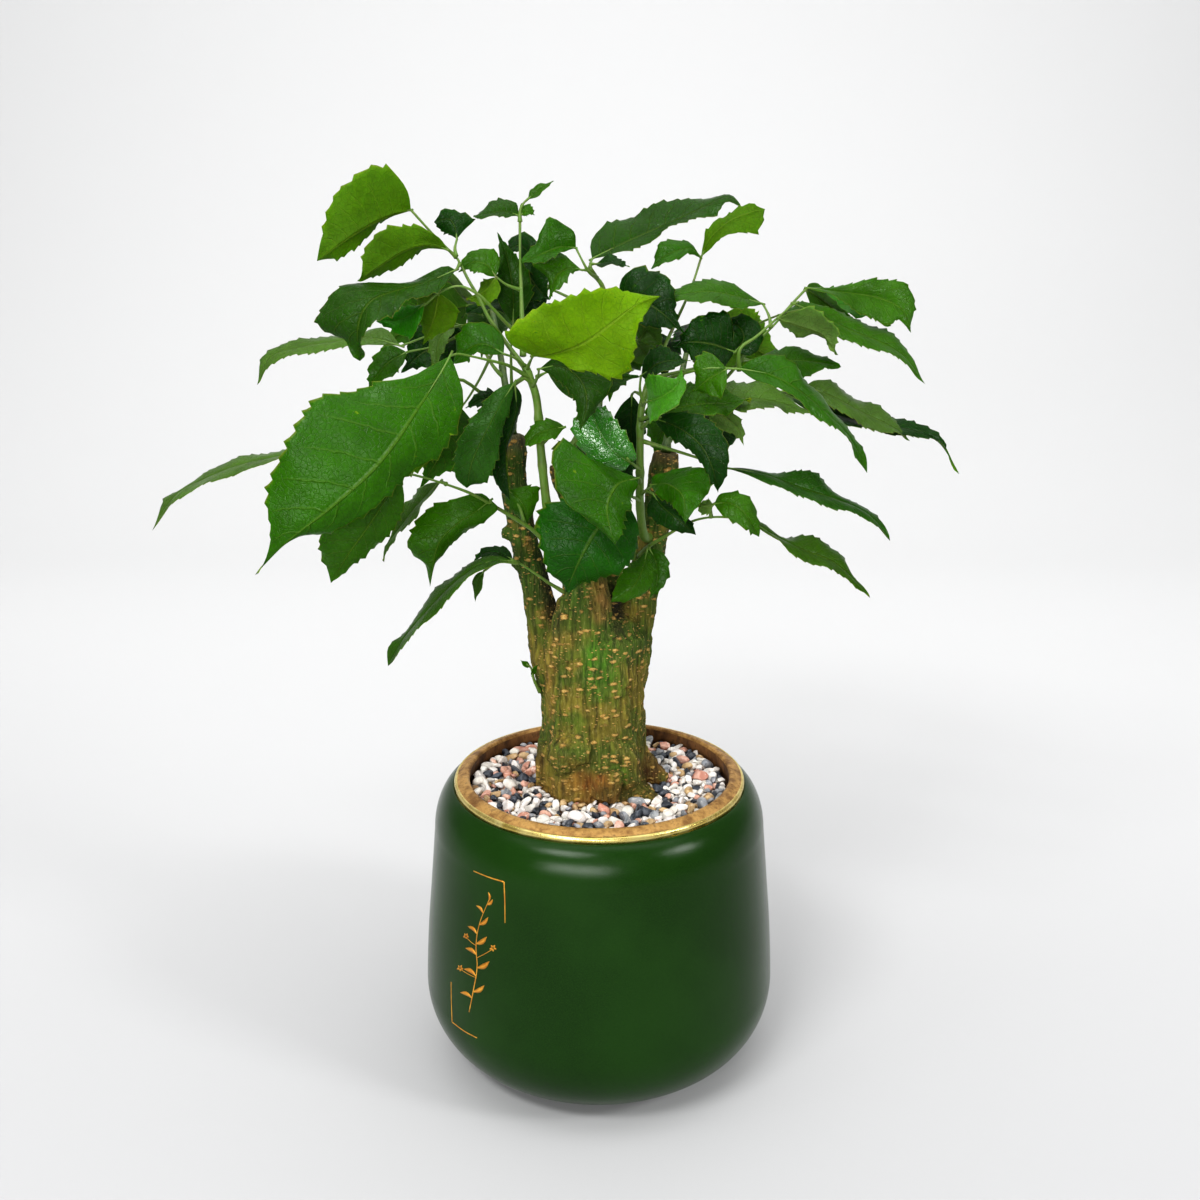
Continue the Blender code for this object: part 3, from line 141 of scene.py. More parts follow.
# ---------------------------------------------------------------- node helpers
class Nodes:
    """Short calls that build a material's nodes."""

    def __init__(self, name):
        self.mat = bpy.data.materials.new(name)
        self.mat.use_nodes = True
        self.tree = self.mat.node_tree
        self.bsdf = self.tree.nodes["Principled BSDF"]
        self.row = 0

    def new(self, kind, **props):
        n = self.tree.nodes.new(kind)
        self.row += 1
        n.location = (-260 * (1 + self.row // 6), -180 * (self.row % 6))
        for k, v in props.items():
            setattr(n, k, v)
        return n

    def put(self, value, socket):
        if isinstance(value, bpy.types.NodeSocket):
            self.tree.links.new(value, socket)
        elif isinstance(value, (tuple, list)) and len(value) == 3 and socket.type == 'RGBA':
            socket.default_value = (*value, 1.0)
        else:
            socket.default_value = value

    def set(self, name, value):
        self.put(value, self.bsdf.inputs[name])

    def math(self, op, a, b=0.0, c=0.0, clamp=False):
        n = self.new("ShaderNodeMath", operation=op, use_clamp=clamp)
        for i, v in enumerate((a, b, c)):
            self.put(v, n.inputs[i])
        return n.outputs[0]

    def add(self, a, b):
        return self.math('ADD', a, b)

    def sub(self, a, b):
        return self.math('SUBTRACT', a, b)

    def mul(self, a, b):
        return self.math('MULTIPLY', a, b)

    def step(self, a, b, x):
        n = self.new("ShaderNodeMapRange", interpolation_type='SMOOTHSTEP', clamp=True)
        self.put(x, n.inputs[0])
        n.inputs[1].default_value, n.inputs[2].default_value = a, b
        n.inputs[3].default_value, n.inputs[4].default_value = 0.0, 1.0
        return n.outputs[0]

    def remap(self, x, a, b, c, d):
        n = self.new("ShaderNodeMapRange", clamp=True)
        self.put(x, n.inputs[0])
        for i, v in enumerate((a, b, c, d)):
            self.put(v, n.inputs[1 + i])
        return n.outputs[0]

    def mix(self, f, a, b, mode='MIX'):
        n = self.new("ShaderNodeMix", data_type='RGBA', blend_type=mode)
        self.put(f, n.inputs[0])
        self.put(a, n.inputs[6])
        self.put(b, n.inputs[7])
        return n.outputs[2]

    def place(self, scale=(1, 1, 1), kind="Object"):
        co = self.new("ShaderNodeTexCoord").outputs[kind]
        m = self.new("ShaderNodeMapping")
        self.put(co, m.inputs[0])
        m.inputs[3].default_value = scale
        return m.outputs[0]

    def noise(self, at, scale, detail=3.0, rough=0.55, distort=0.0):
        n = self.new("ShaderNodeTexNoise")
        self.put(at, n.inputs["Vector"])
        n.inputs["Scale"].default_value = scale
        n.inputs["Detail"].default_value = detail
        n.inputs["Roughness"].default_value = rough
        n.inputs["Distortion"].default_value = distort
        return n.outputs[0]

    def voronoi(self, at, scale, feature='F1', random=1.0):
        n = self.new("ShaderNodeTexVoronoi", feature=feature)
        self.put(at, n.inputs["Vector"])
        n.inputs["Scale"].default_value = scale
        n.inputs["Randomness"].default_value = random
        return n

    def attr(self, name):
        return self.new("ShaderNodeAttribute", attribute_name=name)

    def split(self, v):
        n = self.new("ShaderNodeSeparateXYZ")
        self.put(v, n.inputs[0])
        return n.outputs

    def bump(self, height, strength, distance, normal=None):
        n = self.new("ShaderNodeBump")
        n.inputs["Strength"].default_value = strength
        n.inputs["Distance"].default_value = distance
        self.put(height, n.inputs["Height"])
        if normal is not None:
            self.put(normal, n.inputs["Normal"])
        return n.outputs[0]


# ---------------------------------------------------------------- mesh helpers
def colour_attribute(me, name, colours):
    at = me.attributes.new(name, 'FLOAT_COLOR', 'POINT')
    flat = [c for col in colours for c in (*col, 1.0)]
    at.data.foreach_set("color", flat)


def vector_attribute(me, name, vectors):
    at = me.attributes.new(name, 'FLOAT_VECTOR', 'POINT')
    at.data.foreach_set("vector", [c for v in vectors for c in v])


class Shell:
    """Collects vertices, faces, material numbers and vertex attributes of one piece."""

    def __init__(self):
        self.verts, self.faces, self.mats = [], [], []
        self.leaf, self.tint = [], []

    def vert(self, p, leaf=(0.0, 0.0, 0.0), tint=(0.5, 0.5, 0.5)):
        self.verts.append((p[0] * MM, p[1] * MM, p[2] * MM))
        self.leaf.append(leaf)
        self.tint.append(tint)
        return len(self.verts) - 1

    def face(self, ids, mat):
        self.faces.append(tuple(ids))
        self.mats.append(mat)

    def build(self, name, materials, slot, nodes=()):
        me = bpy.data.meshes.new(name)
        me.from_pydata(self.verts, [], self.faces)
        for m in materials:
            me.materials.append(m)
        me.polygons.foreach_set("material_index", self.mats)
        me.polygons.foreach_set("use_smooth", [True] * len(self.faces))
        vector_attribute(me, "leaf", self.leaf)
        colour_attribute(me, "tint", self.tint)
        me.update()
        ob = bpy.data.objects.new(name, me)
        bpy.context.scene.collection.objects.link(ob)
        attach(ob, BODY)
        for n in nodes:
            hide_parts(n)
        return ob


def tube(shell, pts, radii, sides, mat, tint, n=None, leaf_y=0.0, cap=True):
    """A smooth capped tube through pts with radii spread along it."""
    n = n or max(4, 5 * (len(pts) - 1))
    c = path(pts, n)
    t = (c[1] - c[0]).normalized()
    ref = t.cross(Vector((0.31, 0.86, 0.41)) if abs(t.x) > 0.5 else Vector((1.0, 0.1, 0.2)))
    rings = []
    for i, p in enumerate(c):
        t = (c[min(i + 1, n)] - c[max(i - 1, 0)]).normalized()
        a = (ref - t * t.dot(ref)).normalized()
        ref = a
        b = t.cross(a)
        f = i / n
        g = f * (len(radii) - 1)
        k = min(int(g), len(radii) - 2)
        r = radii[k] + (radii[k + 1] - radii[k]) * smoothstep(0, 1, g - k)
        ring = []
        for s in range(sides):
            w = 2 * math.pi * s / sides
            ring.append(shell.vert(p + a * (r * math.cos(w)) + b * (r * math.sin(w)),
                                   (f, s / sides, leaf_y), tint))
        rings.append(ring)
    for r, q in zip(rings, rings[1:]):
        for s in range(sides):
            t = (s + 1) % sides
            shell.face((r[s], r[t], q[t], q[s]), mat)
    if cap:
        shell.face(tuple(reversed(rings[0])), mat)
        shell.face(tuple(rings[-1]), mat)
    return c


# ---------------------------------------------------------------- tables shared with the model: where each branch, stalk and leaflet lies
# ---- trunk: (across, down, Y, half width, half depth), mm from the axis for the stem ----
TRUNK = [  # (x, y, z, half width, half depth)
    (-3.0, 0.5, 92.0, 17.0, 16.0), (-3.0, 0.5, 112.0, 22.5, 21.0), (-3.0, 0.0, 124.0, 24.8, 23.5),
    (-3.0, 0.0, 132.0, 24.4, 23.0), (-2.9, 0.0, 142.0, 23.6, 22.3), (-2.7, 0.0, 158.0, 22.8, 21.8),
    (-2.7, 0.2, 174.0, 22.6, 21.8), (-2.8, 0.5, 187.0, 23.2, 22.2), (-3.2, 0.8, 198.0, 24.4, 22.0), (-3.2, 1.5, 206.0, 21.0, 19.0),
    (-3.2, 2.5, 212.0, 12.0, 12.0)]
# branch: list of (across, down, Y, radius mm) on the sheet, from inside the trunk to the cut top
BRANCHES = [
    [(560, 690, 0, 8.5), (552, 655, 0, 9.2), (545, 622, 0, 8.0), (535, 578, 1, 6.5), (527, 548, 2, 6.0), (521, 518, 3, 5.8), (515, 487, 4, 5.7), (513, 452, 4, 5.7), (513, 434, 4, 5.4)],
    [(594, 690, -6, 13.0), (591, 648, -8, 13.4), (588, 606, -10, 11.2), (584, 566, -9, 9.8), (584, 530, -8, 8.8), (583, 500, -6, 8.2), (575, 476, -5, 9.2), (570, 460, -4, 9.0)],
    [(626, 690, 2, 9.0), (632, 650, 3, 9.4), (640, 608, 4, 7.8), (647, 570, 5, 7.2), (654, 535, 6, 6.8), (660, 500, 8, 6.2), (665, 470, 9, 5.9), (667, 452, 9, 5.4)],
    [(600, 690, 8, 11.0), (602, 645, 11, 11.4), (606, 600, 17, 9.0), (607, 560, 22, 7.4), (606, 520, 27, 6.6), (603, 490, 30, 6.2)],
]
# roots: (x, y, z, radius) mm
ROOTS = [
    [(10, -6, 128, 8.5), (19, -12, 127, 6.0), (27, -16, 121, 4.6), (33, -20, 108, 3.4), (34, -24, 84, 2.2)],
    [(-12, -8, 122, 8.0), (-24, -16, 117, 5.6), (-33, -22, 104, 4.0), (-38, -27, 78, 2.4)],
    [(-10, 10, 122, 8.0), (-21, 20, 116, 5.4), (-29, 29, 100, 4.0), (-31, 37, 72, 2.4)],
    [(8, 10, 123, 8.0), (19, 20, 118, 5.4), (28, 28, 104, 4.0), (34, 35, 76, 2.4)],
    [(-3, 1, 100, 14.0), (-2, 2, 80, 9.0), (2, -2, 58, 5.5), (6, 2, 34, 2.8)],
]
# ---- green stems: name -> (points (across, down, Y), first radius, last radius, start trim mm) ----
STEMS = {
    "shoot_front_left": ([(558, 556, -14), (550, 520, -20), (545, 482, -22), (541, 440, -23), (539, 410, -24), (536, 392, -25), (530, 376, -26), (526, 366, -27)], 2.0, 1.5, 0.0),
    "shoot_right": ([(645, 536, -6), (641, 505, -16), (641, 478, -22), (641, 445, -24), (642, 412, -25), (648, 388, -25), (656, 371, -24)], 2.0, 1.3, 0.0),
    "shoot_centre": ([(572, 450, 2), (584, 425, 6), (598, 380, 8), (608, 335, 6), (605, 292, 2), (597, 277, 0), (591, 268, -2)], 1.7, 0.8, 0.0),
    "shoot_back_left": ([(513, 424, 8), (509, 402, 16), (503, 365, 30), (496, 325, 46), (490, 300, 58)], 1.8, 1.0, 0.0),
    "shoot_back_right": ([(668, 442, 12), (672, 420, 20), (680, 385, 36), (688, 350, 52), (694, 322, 64)], 1.8, 1.0, 0.0),
    "shoot_back_centre": ([(602, 480, 34), (600, 450, 42), (600, 410, 56), (604, 365, 74), (606, 330, 90)], 1.9, 1.0, 0.0),
}
# ---- leaves: node -> (stalks [(points, trim mm)], leaflets) ----
# leaflet: (points from base to tip, full width mm, roll deg (or roll at base, roll at tip), fold deg, tint)
# roll turns the blade about its midrib, 0 facing the eye; fold > 0 shows the upper side.
# or, for a leaflet with its own outline: (points from base to tip, (across, down) places along the edge on its
# left, how far that edge lies behind the midrib, the same two for the edge on its right, tint, upper side to the eye 1 or -1)
LEAVES = {
    "leaf_top_left": ([([(529, 372, -26), (517, 356, -23), (505, 340, -23), (490, 318, -24), (480, 298, -25), (470, 281, -26), (458, 258, -26), (448, 248, -27), (432, 232, -28), (412, 210, -30)], 3.2, 0.9, 0.5),
                       ([(457, 257, -26), (449, 250, -29)], 0.0), ([(457, 256, -26), (456, 248, -24), (458, 239, -23)], 0.0),
                       ([(461, 264, -26), (457, 270, -33)], 0.0)], [
        ([(412, 210, -30), (395, 213, -34), (372, 224, -38), (345, 241, -40), (318, 261, -38)], [(392, 218), (374, 231), (356, 246), (339, 259)], 4, [(409, 192), (398, 176), (378, 166), (357, 175), (340, 190), (330, 212), (322, 240)], -3, "lit", -1),
        ([(449, 250, -29), (430, 244, -31), (408, 249, -34), (386, 262, -36), (358, 281, -36)], [(430, 249), (410, 259), (389, 271), (373, 279)], 4, [(440, 237), (425, 229), (400, 227), (382, 229), (373, 241), (365, 256), (363, 271)], -3, "lit", -1),
        ([(458, 239, -23), (456, 228, -22), (450, 219, -21), (435, 222, -22)], [(450, 234), (443, 231)], 1, [(466, 229), (474, 219), (462, 213), (446, 209)], 2, "dark", 1),
        ([(457, 270, -33), (430, 281, -42), (398, 290, -50), (371, 302, -56), (359, 328, -56), (361, 361, -52)], [(445, 284), (424, 298), (403, 305), (385, 315), (371, 326), (364, 344)], -7, [(445, 266), (420, 278), (390, 282), (355, 286), (328, 301), (315, 320), (330, 334), (350, 341)], 7, "sheen", 1)]),
    "leaf_left": ([([(549, 546, -19), (535, 531, -23), (520, 521, -26), (500, 509, -30), (475, 495, -36), (455, 487, -42), (430, 479, -50), (400, 471, -60)], 0.0, 0.9, 0.5),
                   ([(447, 484, -44), (442, 481, -40)], 0.0), ([(492, 504, -32), (492, 500, -31)], 0.0)], [
        ([(400, 471, -60), (386, 500, -62), (367, 530, -62), (350, 554, -60), (332, 583, -56)], [(404, 487), (405, 503), (398, 522), (383, 541), (362, 559), (345, 570)], 4, [(375, 480), (350, 500), (327, 525), (321, 543), (324, 560), (329, 572)], 3, "mid", 1),
        ([(442, 481, -40), (418, 505, -36), (399, 530, -32), (388, 546, -30), (385, 562, -28)], 13, 62, 12, "grey"),
        ([(492, 500, -31), (475, 513, -36), (456, 526, -38), (439, 546, -40), (431, 587, -36)], [(499, 509), (485, 521), (466, 533), (450, 546), (439, 559), (434, 573)], 5, [(480, 493), (452, 500), (430, 509), (415, 528), (408, 542), (416, 556), (427, 566)], 4, "mid", 1)]),
    "leaf_low_right": ([([(640, 556, -8), (650, 546, -18), (665, 537, -26), (680, 528, -33), (697, 520, -39), (716, 517, -44), (738, 518, -48), (750, 520, -48)], 0.0, 0.9, 0.5),
                        ([(712, 517, -43), (712, 508, -46), (716, 503, -48)], 0.0), ([(650, 546, -18), (648, 550, -22)], 0.0)], [
        ([(750, 520, -48), (778, 537, -43), (808, 551, -38), (838, 564, -34), (871, 598, -30)], [(765, 524), (785, 537), (806, 536), (828, 546), (845, 557), (856, 577)], 8, [(765, 532), (786, 546), (806, 560), (830, 570), (850, 579)], -7, "olive2", 1),
        ([(715, 504, -48), (730, 503, -52), (745, 512, -55), (760, 537, -54)], [(722, 494), (740, 493), (754, 503), (759, 520)], 4, [(722, 513), (738, 523), (751, 531)], -3, "mid", 1),
        ([(714, 505, -47), (706, 506, -46), (697, 504, -44)], 7, 30, -12, "grey"),
        ([(648, 550, -22), (643, 571, -27), (632, 589, -30), (612, 602, -30)], [(656, 561), (659, 578), (646, 593), (628, 600)], 3, [(636, 561), (623, 573), (616, 588)], 4, "mid", 1),
        ([(650, 548, -21), (657, 562, -24), (658, 582, -26), (650, 600, -26)], 10, 0, 14, "olive")]),
    "leaf_left_tall": ([([(524, 356, -22), (524, 335, -18), (523, 318, -16), (522, 285, -12), (521, 250, -9), (521, 220, -7)], 0.0, 1.1, 0.6),
                         ([(521, 222, -7), (521, 212, -7), (524, 204, -7), (530, 198, -7)], 0.0),
                         ([(522, 290, -12), (508, 285, -16), (497, 277, -18)], 0.0)], [
        ([(520, 216, -7), (506, 211, -8), (491, 213, -10), (474, 217, -12)], [(508, 216), (492, 217)], -4, [(517, 203), (505, 199), (492, 203), (482, 211)], 4, "sheen", 1),
        ([(522, 215, -7), (528, 211, -7), (536, 215, -7)], 6, -40, 14, "mid"),
        ([(529, 199, -7), (540, 190, -7), (555, 181, -7)], 5, -40, 14, "mid"),
        ([(497, 277, -18), (488, 265, -18), (474, 262, -17), (459, 272, -15)], 13, 40, 14, "mid"),
        ([(497, 277, -18), (492, 286, -18), (482, 295, -17), (467, 300, -15)], 11, 40, -14, "bright")]),
    "leaf_right_high": ([([(650, 391, -24), (672, 391, -16), (700, 390, -13), (718, 386, -13), (735, 369, -15), (750, 350, -15), (775, 325, -13), (790, 307, -10), (808, 288, -6)], 2.4, 1.0, 0.55),
                         ([(772, 328, -14), (770, 316, -12), (764, 304, -10)], 0.0)], [
        ([(808, 288, -6), (845, 292, 4), (880, 298, 10), (904, 310, 10), (912, 333, 6)], [(825, 287), (850, 285), (878, 279), (903, 282), (913, 297), (914, 316)], 6, [(830, 295), (850, 305), (872, 317), (888, 326), (899, 319), (908, 326)], -5, "mid", 1),
        ([(806, 290, -6), (825, 303, 2), (845, 318, 6), (862, 326, 8)], 16, -48, -12, "dark"),
        ([(764, 304, -10), (738, 296, -15), (710, 291, -20), (685, 294, -22), (661, 299, -22)], [(752, 307), (738, 307), (718, 303), (700, 303), (680, 299)], -7, [(755, 298), (738, 288), (722, 280), (704, 279), (684, 288), (670, 294)], 6, "mid", 1)]),
    "leaf_left_olive": ([([(523, 334, -18), (511, 327, -25), (495, 310, -32), (480, 295, -36), (460, 286, -38), (440, 293, -38), (426, 305, -38)], 1.8)], [
        ([(440, 293, -38), (438, 306, -34), (434, 322, -30), (424, 345, -26)], 17, 8, -16, "olive"),
        ([(426, 304, -38), (412, 314, -36), (398, 320, -32), (377, 321, -30)], [(420, 326), (410, 337), (396, 331), (386, 325)], -2, [(414, 306), (400, 309), (388, 312)], 3, "gloss", 1)]),
    "leaf_upright_dark": ([([(513, 402, 8), (512, 350, 0), (514, 322, -2)], 3.0)], [
        ([(514, 322, -2), (514, 290, -4), (508, 258, -4), (498, 232, -5)], 15, 20, 16, "sheen"),
        ([(514, 318, -1), (500, 303, 2), (480, 307, 4), (461, 318, 6)], 12, 50, 14, "dark")]),
    "leaf_behind_tall": ([([(606, 318, 6), (575, 300, 10), (545, 285, 12), (525, 268, 11)], 2.4)], [
        ([(525, 268, 11), (534, 282, 9), (542, 292, 7), (551, 300, 5)], 20, 10, 14, "dark"),
        ([(527, 272, 11), (528, 290, 12), (522, 306, 12), (512, 316, 12)], 18, -10, 14, "dark"),
        ([(545, 285, 12), (535, 262, 13), (520, 245, 12), (497, 261, 10)], 13, 40, 14, "dark")]),
    "leaf_centre_top_left": ([([(598, 278, 0), (590, 272, -6), (584, 262, -8), (577, 248, -6)], 2.6), ([(589, 270, -6), (583, 270, -7)], 0.0)], [
        ([(577, 248, -6), (562, 247, -10), (545, 253, -14), (522, 263, -16)], [(566, 251), (552, 258), (537, 263)], -4, [(575, 232), (563, 222), (550, 219), (542, 232), (535, 245), (526, 256)], 3, "bright", 1),
        ([(583, 270, -7), (570, 268, -10), (557, 277, -12), (551, 299, -12)], [(574, 272), (564, 283), (555, 293)], -3, [(573, 262), (562, 252), (545, 256), (532, 264), (547, 275), (550, 288)], 4, "mid", 1)]),
    "leaf_centre_top_right": ([([(591, 268, -2), (591.5, 264, 0), (593, 259, 2)], 1.3), ([(591.5, 264, 0), (597, 264, -2)], 0.0)], [
        ([(593, 259, 2), (612, 249, 5), (640, 236, 8), (670, 223, 9), (700, 209, 8), (728, 197, 6), (743, 208, 4)], [(592, 242), (606, 226), (628, 217), (657, 205), (690, 201), (718, 194), (733, 195)], 7, [(612, 255), (640, 246), (664, 231), (690, 222), (712, 214), (727, 201)], -6, "sheen", 1),
        ([(597, 264, -2), (612, 262, -6), (631, 267, -8)], 8, -58, 14, "dark")]),
    "leaf_left_long": ([([(501, 346, 34), (470, 326, 12), (440, 332, 4), (402, 346, -2)], 3.2)], [
        ([(402, 346, -2), (372, 338, 2), (340, 341, 6), (300, 347, 11), (271, 357, 14), (258, 385, 14)], [(382, 345), (350, 346), (318, 351), (288, 357), (268, 369)], -4, [(385, 328), (360, 333), (325, 337), (290, 343), (263, 358)], 5, "sage", 1)]),
    "leaf_left_cluster": ([([(505, 378, 25), (494, 366, 25), (482, 345, 29), (470, 330, 30), (452, 322, 28)], 3.2), ([(470, 330, 30), (440, 345, 26), (408, 352, 22)], 0.0)], [
        ([(466, 334, 30), (445, 342, 32), (422, 354, 32), (402, 373, 30)], 24, 15, 14, "dark"),
        ([(455, 323, 28), (440, 340, 20), (436, 375, 16)], 9, 30, 14, "sage"),
        ([(408, 352, 22), (391, 361, 21), (377, 376, 20), (368, 390, 20)], 13, 25, 14, "olive")]),
    "leaf_giant": ([([(531, 378, -26), (516, 369, -34), (505, 364, -40), (480, 358, -49), (460, 354, -56), (451, 356, -60)], 3.2)], [
        ([(451, 356, -60), (438, 380, -66), (421, 405, -72), (395, 445, -80), (370, 475, -84), (330, 510, -88), (285, 545, -88), (256, 575, -82)], [(458, 372), (465, 400), (458, 425), (440, 455), (418, 468), (395, 487), (372, 508), (350, 522), (322, 534), (295, 539), (278, 552)], 7, [(430, 367), (410, 378), (380, 383), (350, 392), (322, 397), (305, 415), (293, 435), (282, 458), (273, 482), (268, 503), (272, 530), (268, 553)], 3, "bright", 1)]),
    "leaf_bright_fold": ([([(526, 366, -27), (516, 358, -33), (505, 354, -37)], 1.7)], [
        ([(505, 354, -37), (486, 344, -35), (468, 350, -33), (450, 369, -31)], 18, 45, 22, "bright")]),
    "leaf_hanging_blue": ([([(534, 384, -26), (524, 378, -30), (516, 382, -32)], 2.7), ([(524, 378, -30), (512, 388, -24), (500, 399, -20)], 0.0)], [
        ([(516, 382, -32), (503, 402, -36), (487, 432, -40), (473, 462, -40), (468, 488, -36)], [(512, 402), (503, 432), (497, 460), (486, 482)], 5, [(497, 390), (480, 411), (465, 430), (457, 452), (456, 476)], 3, "blue", 1),
        ([(516, 384, -32), (517, 412, -30), (507, 452, -28), (511, 501, -26)], [(523, 398), (518, 422), (509, 446), (504, 470), (507, 488)], 3, [(508, 400), (498, 430), (492, 460), (499, 487)], 3, "dark", 1),
        ([(500, 399, -20), (484, 399, -19), (466, 408, -18)], 8, 40, 14, "dark")]),
    "leaf_mid_low": ([([(526, 526, -24), (520, 506, -20), (508, 490, -18)], 1.6)], [
        ([(508, 490, -18), (519, 498, -20), (526, 510, -20), (528, 524, -20)], [(525, 487), (539, 488), (538, 502), (533, 514)], 2, [(507, 500), (514, 510), (522, 519)], 2, "mid", 1)]),
    "leaf_mid_side": ([([(541, 446, -23), (552, 436, -28), (566, 427, -30)], 2.6)], [
        ([(566, 427, -30), (548, 430, -32), (535, 436, -32), (526, 447, -32)], [(556, 438), (543, 441), (533, 445)], -4, [(555, 420), (540, 422), (528, 432)], 3, "mid", 1)]),
    "leaf_lit_big": ([([(528, 369, -27), (531, 362, -33), (534, 356, -40)], 2.7)], [
        ([(534, 356, -40), (560, 352, -48), (585, 343, -54), (612, 324, -58), (640, 303, -58), (662, 296, -54)], [(516, 346), (509, 332), (530, 315), (565, 300), (600, 289), (632, 292)], -2, [(555, 360), (585, 367), (616, 379), (630, 367), (636, 345), (640, 320)], -2, "backlit", -1)]),
    "leaf_arch_centre": ([([(534, 386, -26), (539, 376, -34), (540, 369, -40)], 2.8), ([(538, 377, -33), (548, 372, -28)], 0.0)], [
        ([(540, 369, -40), (560, 366, -43), (580, 378, -47), (588, 402, -50), (581, 431, -50)], [(560, 356), (590, 362), (612, 378), (610, 392), (600, 404), (590, 418)], 2, [(545, 371), (559, 380), (570, 390), (577, 402), (579, 418)], 2, "sheen", 1),
        ([(548, 372, -28), (575, 374, -27), (610, 378, -26), (641, 377, -24)], 22, -18, 10, "sheen")]),
    "leaf_centre_back_dark": ([([(608, 334, 6), (613, 318, -6), (618, 306, -14)], 2.6), ([(612, 322, -4), (630, 338, -6), (640, 340, -8)], 0.0)], [
        ([(618, 306, -14), (638, 300, -22), (662, 312, -28), (685, 334, -27)], 26, -26, 16, "dark"),
        ([(640, 340, -8), (648, 331, -11), (656, 338, -14), (665, 348, -15)], 12, 0, 16, "sage"),
        ([(638, 341, -8), (645, 352, -3), (655, 364, 0)], 13, 0, 14, "sage")]),
    "leaf_top_right": ([([(656, 370, -24), (664, 350, -22), (674, 328, -18), (687, 300, -12), (695, 280, -8), (702, 258, -4)], 2.2)], [
        ([(702, 257, -4), (713, 238, -6), (731, 222, -8), (748, 214, -8), (766, 209, -6)], [(705, 241), (714, 224), (730, 213), (748, 205)], 4, [(715, 246), (728, 235), (742, 231), (759, 231)], -3, "lit", -1),
        ([(702, 258, -4), (694, 249, -8), (680, 250, -10), (664, 257, -10), (652, 269, -10)], [(690, 254), (674, 260), (660, 266)], -4, [(690, 243), (676, 240), (662, 243), (656, 257)], 3, "bright", 1)]),
    "leaf_right_curly": ([([(654, 378, -24), (680, 372, -22), (712, 364, -22), (736, 352, -21)], 2.3)], [
        ([(736, 352, -21), (712, 344, -23), (690, 342, -23), (674, 347, -21)], 26, 20, 14, "dark"),
        ([(736, 352, -21), (745, 338, -16), (738, 325, -12), (720, 326, -9)], 15, 20, 14, "dark"),
        ([(712, 364, -22), (708, 372, -28), (698, 378, -32)], 12, 20, 20, "dark")]),
    "leaf_far_right_low": ([([(740, 371, -22), (741, 349, -24), (757, 337, -22), (775, 321, -20), (795, 304, -18), (800, 302, -17)], 1.9)], [
        ([(795, 304, -18), (822, 315, -12), (852, 330, -5), (882, 342, 0), (903, 355, 3), (926, 384, 4)], [(815, 303), (838, 313), (862, 322), (885, 328), (900, 340), (912, 362)], 8, [(808, 314), (830, 330), (855, 341), (880, 352), (900, 358), (915, 370)], -6, "mid", 1),
        ([(779, 318, -20), (800, 325, -20), (825, 335, -18), (839, 355, -16)], 22, 60, -12, "grey")]),
    "leaf_right_behind_pair": ([([(692, 334, 59), (740, 330, 50), (780, 315, 38), (812, 307, 30)], 1.9)], [
        ([(812, 307, 30), (850, 305, 28), (870, 310, 28), (892, 326, 26)], 20, -56, 12, "lit"),
        ([(780, 315, 38), (805, 317, 38), (830, 322, 36), (852, 330, 34)], 16, -56, 12, "olive")]),
    "leaf_right_mid_back": ([([(743, 359, -15), (750, 360, -9), (756, 360, -7)], 2.4)], [
        ([(756, 360, -7), (785, 360, -5), (815, 361, -3), (842, 367, -2)], [(770, 352), (790, 348), (812, 351), (830, 360)], 6, [(772, 371), (795, 377), (812, 374), (828, 369)], -5, "olive", 1)]),
    "leaf_right_broad": ([([(648, 386, -26), (665, 380, -34), (690, 372, -40), (712, 368, -44), (740, 369, -46)], 2.3)], [
        ([(740, 369, -46), (770, 374, -51), (800, 390, -54), (830, 415, -52), (852, 440, -46), (868, 473, -40)], [(756, 358), (778, 355), (797, 364), (808, 382), (828, 406), (850, 427), (862, 449)], 7, [(756, 380), (780, 389), (802, 402), (824, 420), (843, 434), (857, 453)], -5, "bright", 1),
        ([(728, 369, -46), (711, 378, -44), (694, 392, -42)], 19, 20, 14, "mid")]),
    "leaf_right_sage": ([([(660, 396, -16), (705, 398, -18), (740, 396, -18), (780, 392, -16), (808, 386, -14)], 1.6)], [
        ([(806, 386, -14), (835, 397, -8), (865, 413, -2), (892, 426, 3), (911, 441, 6)], [(818, 380), (838, 385), (856, 398), (880, 408), (898, 422)], 7, [(815, 394), (835, 408), (855, 420), (880, 431), (898, 434)], -6, "sage", 1),
        ([(780, 392, -16), (830, 412, -4), (880, 425, 6), (915, 430, 12), (940, 442, 14), (960, 474, 12)], 17, -60, 12, "dark")]),
    "leaf_right_under": ([([(641, 420, -26), (660, 412, -34), (690, 404, -36)], 2.4)], [
        ([(664, 411, -35), (700, 404, -38), (730, 403, -38), (753, 399, -36)], 24, -50, 14, "mid"),
        ([(690, 404, -36), (730, 398, -30), (775, 401, -24), (824, 416, -20)], 22, -60, 12, "sage"),
        ([(706, 410, -38), (722, 416, -36), (738, 428, -34), (745, 446, -32)], 9, -20, -14, "grey")]),
    "leaf_right_curl_pale": ([([(643, 405, -25), (645, 404, -34), (648, 402, -42)], 2.4), ([(645, 404, -34), (641, 390, -38), (642, 376, -40)], 0.0)], [
        ([(648, 402, -42), (664, 396, -54), (678, 385, -56), (683, 367, -52)], 19, -20, 24, "pale"),
        ([(642, 376, -40), (658, 364, -44), (675, 360, -44), (692, 361, -42)], 14, -44, 14, "dark")]),
    "leaf_front_centre": ([([(641, 482, -22), (641, 479, -32), (640, 478, -42)], 2.6)], [
